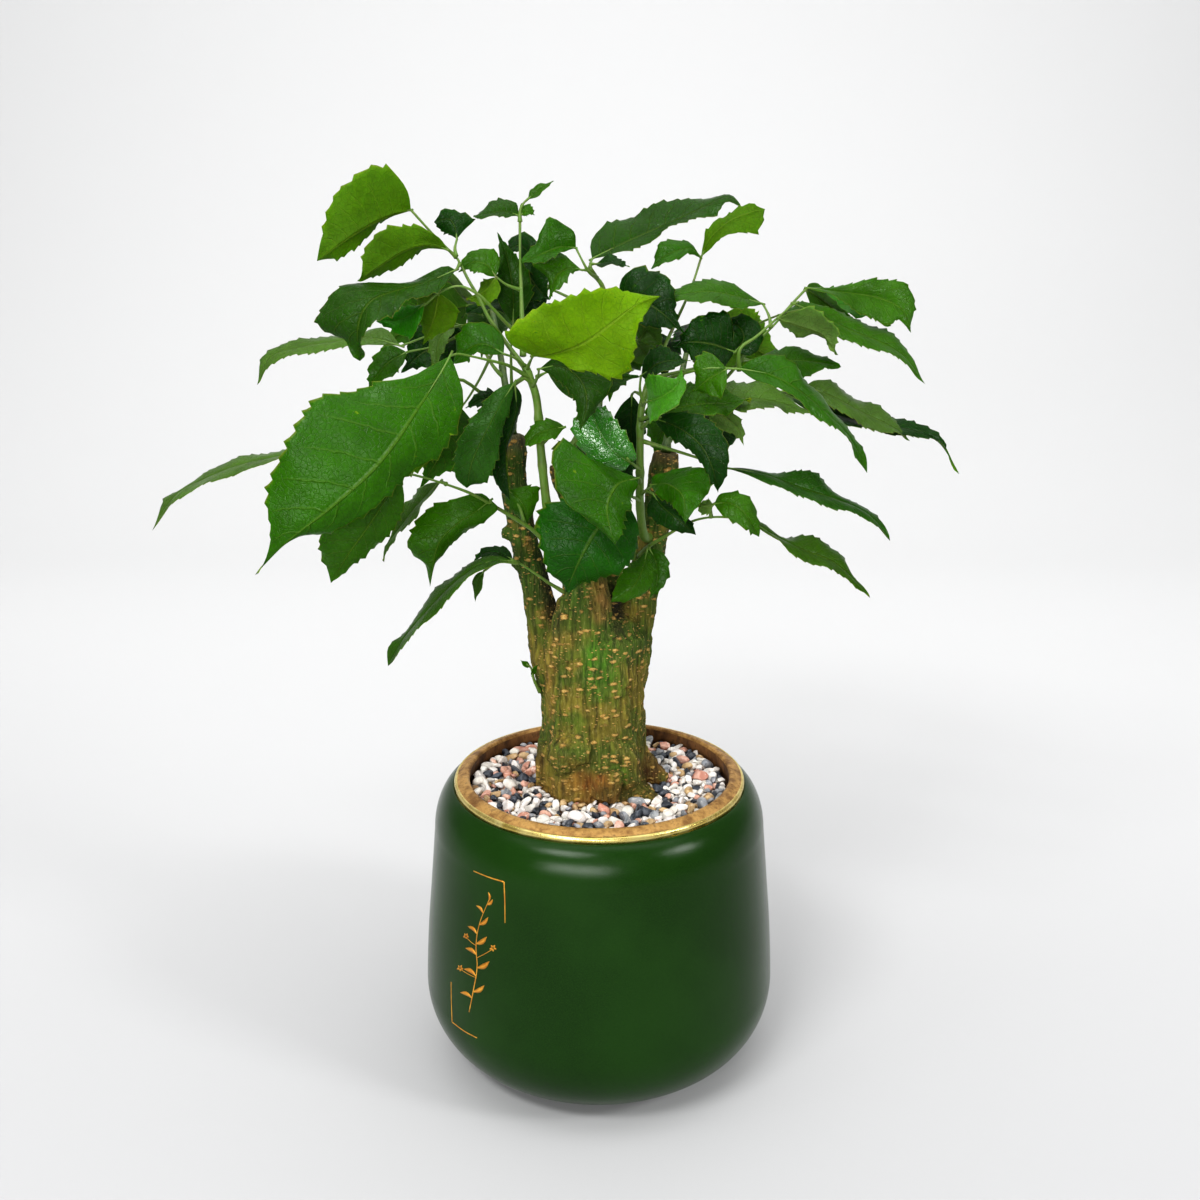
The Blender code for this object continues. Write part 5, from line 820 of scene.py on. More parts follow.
def leaflet(shell, pts, width, roll, fold, tint, rng, facing=None, thick=0.34, teeth=True, wave=1.0, edges=None):
    """One leaflet: a thin closed blade with a toothed edge, sunk veins above and raised ones below.
    With edges, its outline runs through them and fold only says which side faces the eye."""
    if not isinstance(roll, tuple):
        roll = (roll, roll)
    dense = path(pts, 200)
    if edges:
        dense = path(pts, 200)
        lines = [edge_line(dense, edges[0], edges[1], 200), edge_line(dense, edges[2], edges[3], 200)]
        reach = sorted((a - b).length for a, b in zip(*lines))
        width = reach[180]
    length = sum((b - a).length for a, b in zip(dense, dense[1:]))
    n_teeth = max(4, min(14, int(length * 0.66 / 3.9))) if teeth and width > 5 else 0
    st = [0.0, 0.015, 0.04, 0.075, 0.115, 0.16, 0.2]
    amp = {0.2: (0.0, 0.0)}
    a0, a1 = 0.2, 0.87
    if n_teeth:
        at = a0
        cuts = sorted(a0 + (a1 - a0) * (k + 1 + rng.uniform(-0.28, 0.28)) / n_teeth for k in range(n_teeth))
        for s1 in cuts:
            d = s1 - at
            peak = at + d * 0.8
            size = (rng.uniform(0.35, 1.3), rng.uniform(0.35, 1.3))
            for f, g in ((0.45, 0.36), (0.84, 1.0), (1.0, -0.1)):
                s = at + d * f
                amp[s] = (size[0] * g, size[1] * g)
                st.append(s)
            at = s1
    else:
        st += [0.2 + 0.67 * (k + 1) / 10 for k in range(10)]
    last = st[-1]
    st += [last + (1 - last) * f for f in (0.2, 0.4, 0.6, 0.8, 1.0)]
    fo = math.radians(fold)
    h_max = width / 2
    tooth = min(2.1, 0.8 + 0.05 * h_max) if n_teeth else 0.0
    ph = [rng.uniform(0, 6.28) for _ in range(4)]
    fr = [rng.uniform(1.6, 2.6), rng.uniform(1.6, 2.6)]
    wa = wave * min(2.2, 0.06 * width) * rng.uniform(0.7, 1.3)
    rnd = rng.random()
    bow = rng.uniform(0.2, 0.5)
    cup = rng.uniform(0.02, 0.07)
    up_first = fold >= 0
    top_t, under_t = (srgb(*c) for c in TINTS[tint])
    jit = rng.uniform(0.93, 1.07)
    top_t = tuple(c * jit for c in top_t)
    under_t = tuple(c * jit for c in under_t)
    side0 = None
    tops, unders = [], []
    for s in st:
        i = min(199, int(s * 200))
        f = s * 200 - i
        p = dense[i].lerp(dense[min(200, i + 1)], f)
        t = (dense[min(i + 3, 200)] - dense[max(i - 2, 0)]).normalized()
        w = facing or (Vector(EYE) - p).normalized()
        n = (side0 - t * side0.dot(t) if facing and side0 is not None else w.cross(t)).normalized()
        if side0 is not None and n.dot(side0) < 0:
            n = -n
        side0 = n
        w = t.cross(n)
        ro = math.radians(roll[0] + (roll[1] - roll[0]) * s)
        h = half_width(s) * h_max
        if edges:
            ea, eb = (ln[i].lerp(ln[min(200, i + 1)], f) for ln in lines)
            h = 0.5 * ((ea - p).length + (eb - p).length)
            la, lb = (ea - p).normalized(), (eb - p).normalized()
            na, nb = t.cross(la), lb.cross(t)
            na = na.normalized() if na.length > 0.12 else w
            nb = nb.normalized() if nb.length > 0.12 else w
            if na.dot(nb) < -0.2:
                nb = -nb if nb.dot(w) < 0 else nb
                na = -na if na.dot(w) < 0 else na
            mid_n = (na + nb).normalized()
        # on the inside of a bend the half blade stays narrower than the bend's radius
        u, v = dense[max(i - 25, 0)], dense[min(i + 25, 200)]
        bend = ((v - p).normalized() - (p - u).normalized()) / max(1e-6, 0.5 * (v - u).length)
        am = amp.get(s, (0.0, 0.0))
        flip = 1.0 if up_first else -1.0
        upv = (w * math.cos(ro) - n * math.sin(ro)) * flip
        if edges:
            upv = mid_n * flip
        row_t, row_u = [], []
        for sd in (1, 0):            # 1: along +n, 0: along -n
            q = p.copy()
            prev = 0.0
            pts_side = []
            out_d = (n * math.cos(ro + fo) + w * math.sin(ro + fo)) if sd else -(n * math.cos(ro - fo) + w * math.sin(ro - fo))
            hs = min(h, 0.7 / max(1e-6, bend.dot(out_d)))
            for k, c in enumerate(COLS):
                if edges:
                    e = ea if sd else eb
                    d = (e - p).normalized()
                    far = (e - p).length
                    q = p + d * (far * c + (am[sd] * tooth if k == len(COLS) - 1 else 0.0))
                    q = q + upv * (cup * far * math.sin(math.pi * c) * flip)
                elif k:
                    mid = (prev + c) / 2
                    ang = fo * (1.25 - 0.5 * mid) * smoothstep(-0.05, 0.25, s) + fo * 0.35 * (1 - smoothstep(-0.05, 0.25, s))
                    step = (c - prev) * hs
                    if k == len(COLS) - 1:
                        step += am[sd] * tooth
                    if sd:
                        d = n * math.cos(ro + ang) + w * math.sin(ro + ang)
                    else:
                        d = -(n * math.cos(ro - ang) + w * math.sin(ro - ang))
                    q = q + d * step
                prev = c
                pts_side.append((c, q.copy()))
            out = []
            for c, q in pts_side:
                edge = c * c
                ripple = wa * edge * math.sin(2 * math.pi * fr[sd] * s + ph[sd]) * smoothstep(0.03, 0.3, s)
                ripple += 0.35 * wa * edge * math.sin(2 * math.pi * 5.1 * s + ph[2 + sd]) * smoothstep(0.05, 0.3, s)
                v = ((s - 0.15 * c ** 1.2) * 9.0 + (0.42 if sd else 0.0) + rnd) % 1.0
                puff = (0.5 - 0.5 * math.cos(2 * math.pi * (v - 0.5))) * math.sin(math.pi * min(1.0, c * 1.05)) * 0.030 * h
                droop = 0.0 if edges else -bow * edge * h * 0.16
                groove = -0.35 * (1 - smoothstep(0.0, 0.12, c)) * min(1.0, h / 4)
                lift = ripple + droop
                out.append((c, q + upv * lift, puff + groove))
            if sd:
                left = out
            else:
                right = out
        cols = [(-c, q, g) for c, q, g in reversed(right)] + [(c, q, g) for c, q, g in left[1:]]
        if h < 0.02:
            cols = [(0.0, p, 0.0)]
        for c, q, g in cols:
            rib = 0.55 * (1 - smoothstep(0.0, 0.1, abs(c))) * (1 - 0.8 * s) * min(1.0, h / 3)
            th = thick * (0.35 + 0.65 * (1 - abs(c) ** 6)) * min(1.0, 0.3 + h / 3)
            row_t.append(shell.vert(q + upv * (g + th / 2), (s, c, rnd), top_t))
            row_u.append(shell.vert(q + upv * (g - th / 2 - rib), (s, c, rnd), under_t))
        tops.append(row_t)
        unders.append(row_u)
    # n x t points to w: decide the order of corners so that the upper side faces upv
    def quad(a, b, c, d, mat, turn):
        ids = [x for x in (a, b, c, d)]
        ids = [x for k, x in enumerate(ids) if x not in ids[:k]]
        if len(ids) < 3:
            return
        shell.face(reversed(ids) if turn else ids, mat)
    for r in range(len(st) - 1):
        a, b = tops[r], tops[r + 1]
        c, d = unders[r], unders[r + 1]
        m = max(len(a), len(b))
        for k in range(m - 1):
            def pick(row, j):
                return row[0] if len(row) == 1 else row[j]
            quad(pick(a, k), pick(a, k + 1), pick(b, k + 1), pick(b, k), 0, not up_first)
            quad(pick(c, k), pick(c, k + 1), pick(d, k + 1), pick(d, k), 1, up_first)
        for k, flipit in ((0, not up_first), (-1, up_first)):
            quad(a[k], b[k], d[k], c[k], 0, flipit)
    # the rows at both ends are single points, which close the blade there
    return length


def stalk_points(st):
    return [P(*q) for q in st[0]]


LEAF_SLOT = {}
for part in frame["record"]["subparts"]:
    LEAF_SLOT[part["node"]] = part["material_slot"]


def make_leaf(name, stalks, leaflets, seed):
    rng = random.Random(seed)
    shell = Shell()
    axes = []
    for st in stalks:
        r0, r1 = (st[2], st[3]) if len(st) > 2 else (0.8, 0.5)
        p = stalk_points(st)
        axes.append(path(p, 60))
        tube(shell, p, [r0 * 1.25, r0 * 0.9, (r0 + r1) * 0.45, r1 * 0.85, r1 * 0.95], 8, 2, STALK, leaf_y=rng.random())
    back = name.startswith("leaf_back")
    for entry in leaflets:
        p = [P(*q) for q in entry[0]]
        near = min((q for a in axes for q in a), key=lambda q: (q - p[0]).length)
        if len(entry) == 7:
            leaflet(shell, p, 0.0, 0.0, entry[6], entry[5], rng, edges=entry[1:5])
        else:
            pts, width, roll, fold, tint = entry
            leaflet(shell, p, width, roll, fold, tint, rng, Vector((0.0, 0.35, 1.0)) if back else None)
        c = path(p, 20)
        if (near - c[0]).length > 0.2:
            tube(shell, [near, c[0].lerp(c[1], 0.5)], [0.55, 0.42, 0.4], 8, 2, STALK, n=4)
        # the stalk runs on under the blade as its main rib
        tube(shell, [c[0] - (c[1] - c[0]) * 0.4, c[1], c[3]], [0.48, 0.42, 0.3, 0.16], 8, 2, STALK, n=6)
    shell.build(name + "_looks", GLOSSY_MATS if name == "leaf_front_glossy" else LEAF_MATS, LEAF_SLOT[name], (name,))


for i, (name, (stalks, leaflets)) in enumerate(LEAVES.items()):
    make_leaf(name, stalks, leaflets, 100 + i)

# ---------------------------------------------------------------- shoots
def branch_core(start):
    """Nearest place on the middle line of a cut branch, where a shoot grows out of the wood."""
    best = None
    for br in BRANCHES:
        q = [P(*e[:3]) for e in br]
        for lo, hi in zip(q, q[1:]):
            run = hi - lo
            t = max(0.0, min(1.0, (start - lo).dot(run) / run.dot(run)))
            c = lo + run * t
            if best is None or (c - start).length < (best - start).length:
                best = c
    return best


for i, (name, (pts, r0, r1, trim)) in enumerate(STEMS.items()):
    rng = random.Random(300 + i)
    shell = Shell()
    p = [P(*q) for q in pts]
    p = [branch_core(p[0])] + p
    c = path(p, 60)
    n = 60
    radii = []
    for k in range(31):
        f = k / 30
        swell = 1.0 + 0.22 * max(0.0, math.cos(2 * math.pi * (f * 5.2 + 0.2 * i))) ** 8
        radii.append((r0 + (r1 - r0) * f) * swell * (1.25 if k == 0 else 1.0))
    # the shoots at the back take the darker stalk colour, which is painted shade
    tube(shell, p, radii, 14, 2, STALK if "back" not in name else STALK_PAINTED_SHADE, n=n)
    shell.build(name + "_looks", LEAF_MATS, "green_shoot", (name,))


# ---------------------------------------------------------------- trunk, branches and roots
def modifier_applied(ob, kind, **props):
    m = ob.modifiers.new("m", kind)
    for k, v in props.items():
        setattr(m, k, v)
    bpy.context.view_layer.update()
    dep = bpy.context.evaluated_depsgraph_get()
    me = bpy.data.meshes.new_from_object(ob.evaluated_get(dep))
    ob.modifiers.clear()
    old = ob.data
    ob.data = me
    bpy.data.meshes.remove(old)


def fractal(p, octaves=4, gain=0.5):
    return noise.fractal(p, gain, 2.1, octaves)


def blob(x, y, cx, cy, rx, ry):
    """1 in the middle of a patch on the sheet, 0 outside it."""
    return 1.0 - smoothstep(0.35, 1.0, math.hypot((x - cx) / rx, (y - cy) / ry))


def blend3(a, b, f):
    return tuple(u + (v - u) * f for u, v in zip(a, b))


wood = Shell()
stations = []
for x, y, z, a, b in TRUNK:
    stations.append((x, y, z, a, b))
zs = [s[2] for s in stations]
rings = []
for k in range(61):
    z = zs[0] + (zs[-1] - zs[0]) * k / 60
    j = max(i for i in range(len(zs) - 1) if zs[i] <= z + 1e-9)
    f = smoothstep(0, 1, (z - zs[j]) / (zs[j + 1] - zs[j])) * 0.5 + 0.5 * (z - zs[j]) / (zs[j + 1] - zs[j])
    x, y, _, a, b = (u + (v - u) * f for u, v in zip(stations[j], stations[j + 1]))
    ring = []
    for s in range(64):
        w = 2 * math.pi * s / 64
        rib = 1.0 + 0.018 * math.sin(5 * w + 0.4) + 0.012 * math.sin(9 * w + z * 0.02)
        ring.append(wood.vert((x + a * rib * math.cos(w), y + b * rib * math.sin(w), z)))
    rings.append(ring)
for r, q in zip(rings, rings[1:]):
    for s in range(64):
        t = (s + 1) % 64
        wood.face((r[s], r[t], q[t], q[s]), 0)
wood.face(tuple(reversed(rings[0])), 0)
wood.face(tuple(rings[-1]), 0)


def limb(points, radii, sides=22, n=60):
    tube(wood, points, radii, sides, 0, (0.5, 0.5, 0.5), n=n)


def radius_list(rs, count=41):
    """Radii spread along a limb, read smoothly between the given ones."""
    out = []
    for i in range(count):
        g = i / (count - 1) * (len(rs) - 1)
        k = min(int(g), len(rs) - 2)
        out.append(rs[k] + (rs[k + 1] - rs[k]) * (g - k))
    return out


CUTS = []
for i, br in enumerate(BRANCHES):
    pts = [P(x, y, d) for x, y, d, r in br]
    rs = radius_list([r for x, y, d, r in br])
    # a callus swells round each old cut
    for k in range(len(rs)):
        f = k / (len(rs) - 1)
        rs[k] *= 1.0 + (0.10, 0.07, 0.12, 0.10)[i] * math.exp(-((f - 0.93) / 0.05) ** 2)
    limb(pts, rs)
    CUTS.append((pts[-1], (pts[-1] - pts[-2]).normalized(), rs[-1]))
for rt in ROOTS:
    limb([Vector(q[:3]) for q in rt], radius_list([q[3] for q in rt]), 16, 40)
# stub of an old shoot on the left branch, knots and the swelling under the fork
EXTRA = [
    ([P(520, 536, 2), P(511, 534, 1), P(503, 532, 0)], [3.6, 3.0, 2.6]),
    ([P(521, 565, -1), P(514, 561, -2)], [2.8, 2.2]),
    ([P(652, 560, 3), P(659, 553, 2)], [3.2, 2.4]),
    ([P(560, 760, -16), P(575, 748, -19), P(592, 752, -20)], [7.0, 7.6, 6.0]),
    ([P(554, 742, -8), P(549, 765, -9), P(546, 785, -10)], [7.0, 6.0, 4.6]),
    ([P(622, 745, -14), P(629, 765, -16), P(636, 785, -18)], [7.0, 5.6, 4.0]),
    ([P(636, 748, 2), P(648, 766, 1), P(664, 782, 0)], [5.0, 4.2, 3.0]),
    ([P(608, 770, -21), P(606, 785, -22), P(604, 800, -23)], [7.6, 7.0, 5.5]),
    ([P(571, 660, -15), P(566, 625, -13), P(569, 598, -11)], [6.0, 5.6, 4.6]),
]
for pts, rs in EXTRA:
    limb(pts, radius_list(rs, 21), 16, 24)
trunk = wood.build("trunk_looks", [M_BARK], "bark", ("trunk",))
modifier_applied(trunk, 'REMESH', mode='VOXEL', voxel_size=0.00085, adaptivity=0.0)
modifier_applied(trunk, 'SMOOTH', factor=0.5, iterations=6)

me = trunk.data
n = len(me.vertices)
co = [0.0] * (3 * n)
no = [0.0] * (3 * n)
me.vertices.foreach_get("co", co)
me.vertex_normals.foreach_get("vector", no)
SEED = Vector((13.1, 7.7, 3.3))
TAN = srgb(150, 112, 56)
tints = []
for i in range(n):
    p = Vector(co[3 * i:3 * i + 3]) * 1000.0
    nn = Vector(no[3 * i:3 * i + 3])
    sx, sy = sheet_place(p)
    stem = 1.0 - smoothstep(198.0, 222.0, p.z)
    # upright ridges: noise read on places squeezed in height; broad lumps; small grain
    q = Vector((p.x, p.y, p.z * 0.13)) * 0.42 + SEED
    ridge = 1.0 - abs(noise.noise(q)) * 2.2
    q2 = Vector((p.x, p.y, p.z * 0.10)) * 0.95 + SEED * 2
    ridge2 = 1.0 - abs(noise.noise(q2)) * 2.0
    lump = fractal(p * 0.075 + SEED, 3)
    grain = fractal(p * 0.55 + SEED, 3)
    up = abs(nn.z)
    amp = 0.45 + 0.55 * stem
    flat = 1.0 - 0.8 * smoothstep(0.7, 0.95, up)
    d = amp * flat * (0.62 * (ridge - 0.55) + 0.26 * (ridge2 - 0.5)) + 0.85 * amp * lump + 0.22 * grain
    # long ribs that run into the roots, deepest near the gravel
    low = 1.0 - smoothstep(126.0, 172.0, p.z)
    ang = math.atan2(p.y, p.x + 3.0)
    d += low * 1.15 * math.sin(6.0 * ang + 1.1 + 0.7 * math.sin(p.z * 0.05)) * (p.z > 112.0)
    # level cracks low on the stem
    for cy, cx, w in ((765, 600, 26), (752, 578, 14), (741, 622, 12), (779, 620, 16)):
        if abs(sx - cx) < w and p.y < 0:
            wob = 1.6 * noise.noise(Vector((sx * 0.12, cy, 0.0)))
            d -= 0.7 * math.exp(-((sy - cy - wob) / 1.3) ** 2) * (1 - (abs(sx - cx) / w) ** 2)
    # peeled edge, thin flakes
    for cx, cy, rx, ry in ((601, 602, 12, 26), (556, 690, 7, 40), (590, 735, 16, 12), (627, 700, 9, 30)):
        if p.y < 2:
            d += 0.5 * blob(sx, sy, cx, cy, rx, ry) * (1 if noise.noise(p * 0.3) > -0.1 else -0.6)
    for (c, t, r) in CUTS:
        v = p - c
        h = v.dot(t)
        rad = (v - t * h).length
        if rad < r * 1.25 and -1.5 < h < 2.0:
            d += 0.35 * math.sin(rad * 3.2) * (1 - rad / (r * 1.25)) - 0.5 * (1 - smoothstep(0.0, 0.75, rad / r))
    me.vertices[i].co = (p + nn * d) * MM
    # colour
    base = srgb(88, 96, 34)
    if p.z < 205.0:
        base = blend3(srgb(128, 88, 40), srgb(112, 100, 42), smoothstep(126.0, 143.0, p.z))
        base = blend3(base, srgb(90, 104, 30), smoothstep(138.0, 168.0, p.z))
    else:
        base = blend3(srgb(90, 104, 32), srgb(62, 92, 22), smoothstep(205.0, 232.0, p.z))
    warm = fractal(p * 0.05 + SEED * 3, 3)
    base = blend3(base, srgb(132, 116, 46), smoothstep(0.05, 0.55, warm) * 0.75)
    base = blend3(base, srgb(60, 92, 24), smoothstep(0.05, 0.5, -warm) * 0.55)
    # green, tan and brown patches of bark on the front of the trunk; the two near-black patches in the gaps between the
    # branches are painted shade
    if p.y < 6:
        for col, amt, (cx, cy, rx, ry) in (
                (srgb(70, 118, 22), 0.9, (600, 668, 22, 42)), (srgb(76, 110, 24), 0.7, (622, 772, 18, 16)),
                (srgb(166, 128, 70), 0.85, (601, 602, 14, 30)), (srgb(164, 130, 58), 0.8, (552, 686, 8, 44)),
                (srgb(150, 92, 40), 0.75, (590, 782, 34, 16)), (srgb(150, 120, 50), 0.6, (566, 735, 14, 16)),
                (srgb(64, 96, 22), 0.6, (560, 770, 16, 14)), (srgb(92, 60, 34), 0.8, (652, 768, 16, 20)),
                (srgb(42, 40, 16), 0.75, (560, 622, 7, 24)), (srgb(42, 40, 16), 0.75, (619, 618, 8, 34)),
                (srgb(112, 78, 36), 0.6, (539, 764, 8, 16))):
            f = blob(sx, sy, cx, cy, rx, ry)
            if f > 0:
                base = blend3(base, col, amt * f * (0.55 + 0.45 * smoothstep(-0.3, 0.3, noise.noise(p * 0.22))))
    for k, (c, t, r) in enumerate(CUTS):
        v = p - c
        h = v.dot(t)
        rad = (v - t * h).length
        if rad < r * 1.4 and h > -9.0:
            f = smoothstep(-9.0, -1.0, h)
            base = blend3(base, (srgb(112, 104, 84), srgb(116, 96, 62), srgb(104, 84, 58), srgb(110, 90, 60))[k], 0.8 * f)
    # darker in the hollows of the bark, lighter on its ridges: painted shade in the hollows and painted light on the
    # ridges, over the bark's own darker furrows
    base = tuple(c * (0.82 + 0.38 * smoothstep(0.2, 0.9, ridge)) for c in base)
    # deep shade and moss in the crotches between the branches
    if p.z > 150.0 and -9.0 < p.y < 12.0:
        gap = max(math.exp(-((sx - 552.0 + (600.0 - sy) * 0.1) / 10.0) ** 2) * smoothstep(655.0, 605.0, sy),
                  math.exp(-((sx - 617.0 - (600.0 - sy) * 0.06) / 9.0) ** 2) * smoothstep(665.0, 618.0, sy))
        base = tuple(c * (1.0 - 0.86 * gap) for c in base)
    tints.append(base)
for name in ("leaf", "tint"):
    at = me.attributes.get(name)
    if at:
        me.attributes.remove(at)
colour_attribute(me, "tint", tints)
me.materials.clear()
me.materials.append(M_BARK)
me.polygons.foreach_set("material_index", [0] * len(me.polygons))
me.polygons.foreach_set("use_smooth", [True] * len(me.polygons))
me.update()


# ---------------------------------------------------------------- pot
POT_H, RIM_R, SHOULDER_R, SHOULDER_Z = 135.0, 64.2, 74.3, 111.5
MOUTH_R, POT_R, BELLY_Z, FOOT_R = 58.2, 80.0, 37.0, 42.0


def superarc(r0, z0, dr, dz, power, n, down):
    out = []
    for i in range(n + 1):
        a = math.pi / 2 * i / n
        out.append((r0 + dr * math.cos(a) ** (2 / power), z0 + (-dz if down else dz) * math.sin(a) ** (2 / power)))
    return out


def spline(pts, n):
    return [(q.x, q.z) for q in path([Vector((r, 0.0, z)) for r, z in pts], n)]


GLAZED, RIM, GOLD, INSIDE, BARE = range(5)
shoulder = superarc(RIM_R + 0.1, SHOULDER_Z, SHOULDER_R - RIM_R - 0.1, POT_H - 3.9 - SHOULDER_Z, 1.8, 22, False)[::-1]
side = spline([shoulder[-2], shoulder[-1], (76.5, 86.0), (78.6, 62.0), (80.0, 37.0), (79.7, 28.0)], 50)
side = [q for q in side if 37.3 < q[1] < SHOULDER_Z - 0.3]
belly = superarc(FOOT_R, BELLY_Z, POT_R - FOOT_R, BELLY_Z - 0.9, 2.1, 30, True)
profile = [(r, z, INSIDE) for r, z in spline([(55.5, 7.5), (66.0, 18.0), (72.0, 40.0), (70.5, 72.0), (68.9, 101.0), (65.8, 113.0), (61.3, 122.0)], 26)]
profile += [(60.2, 125.0, INSIDE), (59.3, 127.2, INSIDE), (58.7, 129.4, INSIDE), (58.4, 131.2, INSIDE), (58.25, 132.8, INSIDE),
            (58.2, 133.7, RIM), (58.4, 134.4, RIM), (58.8, 134.8, RIM), (59.4, 134.95, RIM), (60.3, 134.8, RIM),
            (61.3, 134.45, RIM), (62.3, 134.0, RIM), (63.1, 133.55, RIM), (63.6, 133.25, RIM), (63.8, 133.2, GOLD),
            (64.1, 133.3, GOLD), (64.5, 133.2, GOLD), (64.9, 132.75, GOLD), (65.15, 132.0, GOLD), (65.1, 131.2, GOLD),
            (64.8, 130.5, GOLD), (64.5, 130.1, GOLD), (64.5, 129.9, GOLD), (64.7, 129.6, GLAZED)]
shoulder = [q for q in shoulder if q[0] > 64.9]
profile += [(r, z, GLAZED) for r, z in shoulder]
profile += [(r, z, GLAZED) for r, z in side]
profile += [(r, z, GLAZED) for r, z in belly[:-1]]
profile += [(42.2, 0.7, BARE), (41.8, 0.25, BARE), (41.0, 0.0, BARE), (38.0, 0.0, BARE), (37.2, 0.3, BARE), (36.6, 1.4, BARE),
            (35.6, 2.0, BARE), (25.0, 2.2, BARE), (12.0, 2.3, BARE)]
STEPS = 176
pot_shell = Shell()
rings = []
for r, z, kind in profile:
    ring = []
    for s in range(STEPS):
        w = 2 * math.pi * s / STEPS
        rr = r
        if kind in (RIM, GOLD):
            # the rolled rim is hand finished: slightly uneven
            rr += 0.10 * math.sin(3 * w + 0.6) + 0.07 * math.sin(7 * w + z)
        elif kind == GLAZED:
            rr += 0.10 * math.sin(2 * w + 0.03 * z) + 0.06 * math.sin(5 * w - 0.05 * z)
        ring.append(pot_shell.vert((rr * math.cos(w), rr * math.sin(w), z)))
    rings.append(ring)
for k in range(len(rings) - 1):
    kind = profile[k][2]
    for s in range(STEPS):
        t = (s + 1) % STEPS
        pot_shell.face((rings[k + 1][s], rings[k + 1][t], rings[k][t], rings[k][s]), kind)
for ring, z, flip, kind in ((rings[0], 6.2, False, INSIDE), (rings[-1], 2.3, True, BARE)):
    c = pot_shell.vert((0.0, 0.0, z))
    for s in range(STEPS):
        t = (s + 1) % STEPS
        pot_shell.face((ring[t], ring[s], c) if flip else (ring[s], ring[t], c), kind)
pot = pot_shell.build("pot_looks", [M_GLAZE, M_RIM, M_GOLD, M_INSIDE, M_BARE], "green_glaze", ("pot",))

# ---------------------------------------------------------------- gold print: two corner brackets and a sprig
bpy.context.view_layer.update()
pot_tree = BVHTree.FromPolygons([v.co * 1000.0 for v in pot.data.vertices], [tuple(p.vertices) for p in pot.data.polygons])


def on_pot(x, y, lift=0.12):
    """Point and direction out of the pot at sheet place (x, y)."""
    a = Vector(EYE)
    d = (P(x, y, -40.0) - a).normalized()
    hit, nn, _, _ = pot_tree.ray_cast(a + d * 300.0, d)
    if nn.dot(d) > 0:
        nn = -nn
    return hit + nn * lift, nn


def on_pot_near(p, lift=0.12):
    hit, nn, _, _ = pot_tree.find_nearest(p)
    if nn.dot(Vector((p.x, p.y, 0.0))) < 0:
        nn = -nn
    return hit + nn * lift, nn


def strip(shell, pts, widths, close=None):
    """A raised painted line along sheet places; widths in mm."""
    c = path([Vector((x, y, 0.0)) for x, y in pts], max(8, 6 * (len(pts) - 1)))
    base = [on_pot(q.x, q.y) for q in c]
    rows = []
    for i, (p, nn) in enumerate(base):
        t = (base[min(i + 1, len(base) - 1)][0] - base[max(i - 1, 0)][0]).normalized()
        b = t.cross(nn).normalized()
        f = i / (len(base) - 1)
        g = f * (len(widths) - 1)
        k = min(int(g), len(widths) - 2)
        h = 0.5 * (widths[k] + (widths[k + 1] - widths[k]) * (g - k))
        l, n1 = on_pot_near(p + b * h, 0.02)
        r, n2 = on_pot_near(p - b * h, 0.02)
        rows.append((shell.vert(l), shell.vert(p + nn * 0.02), shell.vert(r), shell.vert(p - nn * 0.3)))
    for a, b in zip(rows, rows[1:]):
        for k in range(4):
            m = (k + 1) % 4
            shell.face((a[k], a[m], b[m], b[k]), 0)
    shell.face(tuple(reversed(rows[0])), 0)
    shell.face(tuple(rows[-1]), 0)


print_shell = Shell()
for line, w in (([(474.5, 871), (489, 877), (505, 882)], (0.5, 0.75)), ([(505, 882), (505.8, 902), (506, 923)], (0.75, 0.45)),
                ([(452, 982), (452.3, 1002), (453, 1022)], (0.45, 0.7)), ([(453, 1022), (465, 1031), (478, 1038)], (0.7, 0.5))):
    strip(print_shell, line, w)
# stem with paired leaves and small buds, rising to the left
stem = [(470, 1012), (474, 992), (478, 968), (477, 944), (481, 922), (490, 900)]
strip(print_shell, stem, (0.55, 0.7, 0.6, 0.55, 0.45, 0.35))


def print_leaf(x, y, ang, length, width):
    a = math.radians(ang)
    dx, dy = math.cos(a), -math.sin(a)
    bend = 0.12 * length
    pts = [(x, y), (x + dx * length * 0.5 - dy * bend, y + dy * length * 0.5 + dx * bend), (x + dx * length, y + dy * length)]
    strip(print_shell, pts, (0.25, width * 0.75, width, width * 0.7, 0.15))


for x, y, ang, length, width in (
        (473, 998, 155, 13, 2.1), (474, 992, 30, 13, 2.1), (477, 976, 150, 14, 2.3), (478, 968, 28, 14, 2.3),
        (477.5, 955, 148, 13, 2.2), (477, 944, 34, 13, 2.2), (478, 934, 140, 12, 2.0), (480, 925, 40, 12, 1.9),
        (484, 913, 132, 10, 1.7), (488, 905, 44, 8, 1.5), (490, 901, 95, 9, 1.5)):
    print_leaf(x, y, ang, length, width)
# three small blossoms
for cx, cy, r in ((461, 968, 3.2), (494, 948, 3.4), (467, 936, 2.8)):
    for k in range(5):
        a = 2 * math.pi * k / 5 + 0.3
        strip(print_shell, [(cx + 0.8 * math.cos(a), cy + 0.8 * math.sin(a)), (cx + r * 0.6 * math.cos(a), cy + r * 0.6 * math.sin(a)),
                            (cx + r * math.cos(a), cy + r * math.sin(a))], (0.5, 1.1, 0.4))
    strip(print_shell, [(cx, cy + 1), (0.5 * (cx + 477), cy + 6), (477.5, cy + 10)], (0.35, 0.35, 0.3))
gold_print = print_shell.build("pot_gold_print", [M_LINE], "green_glaze")


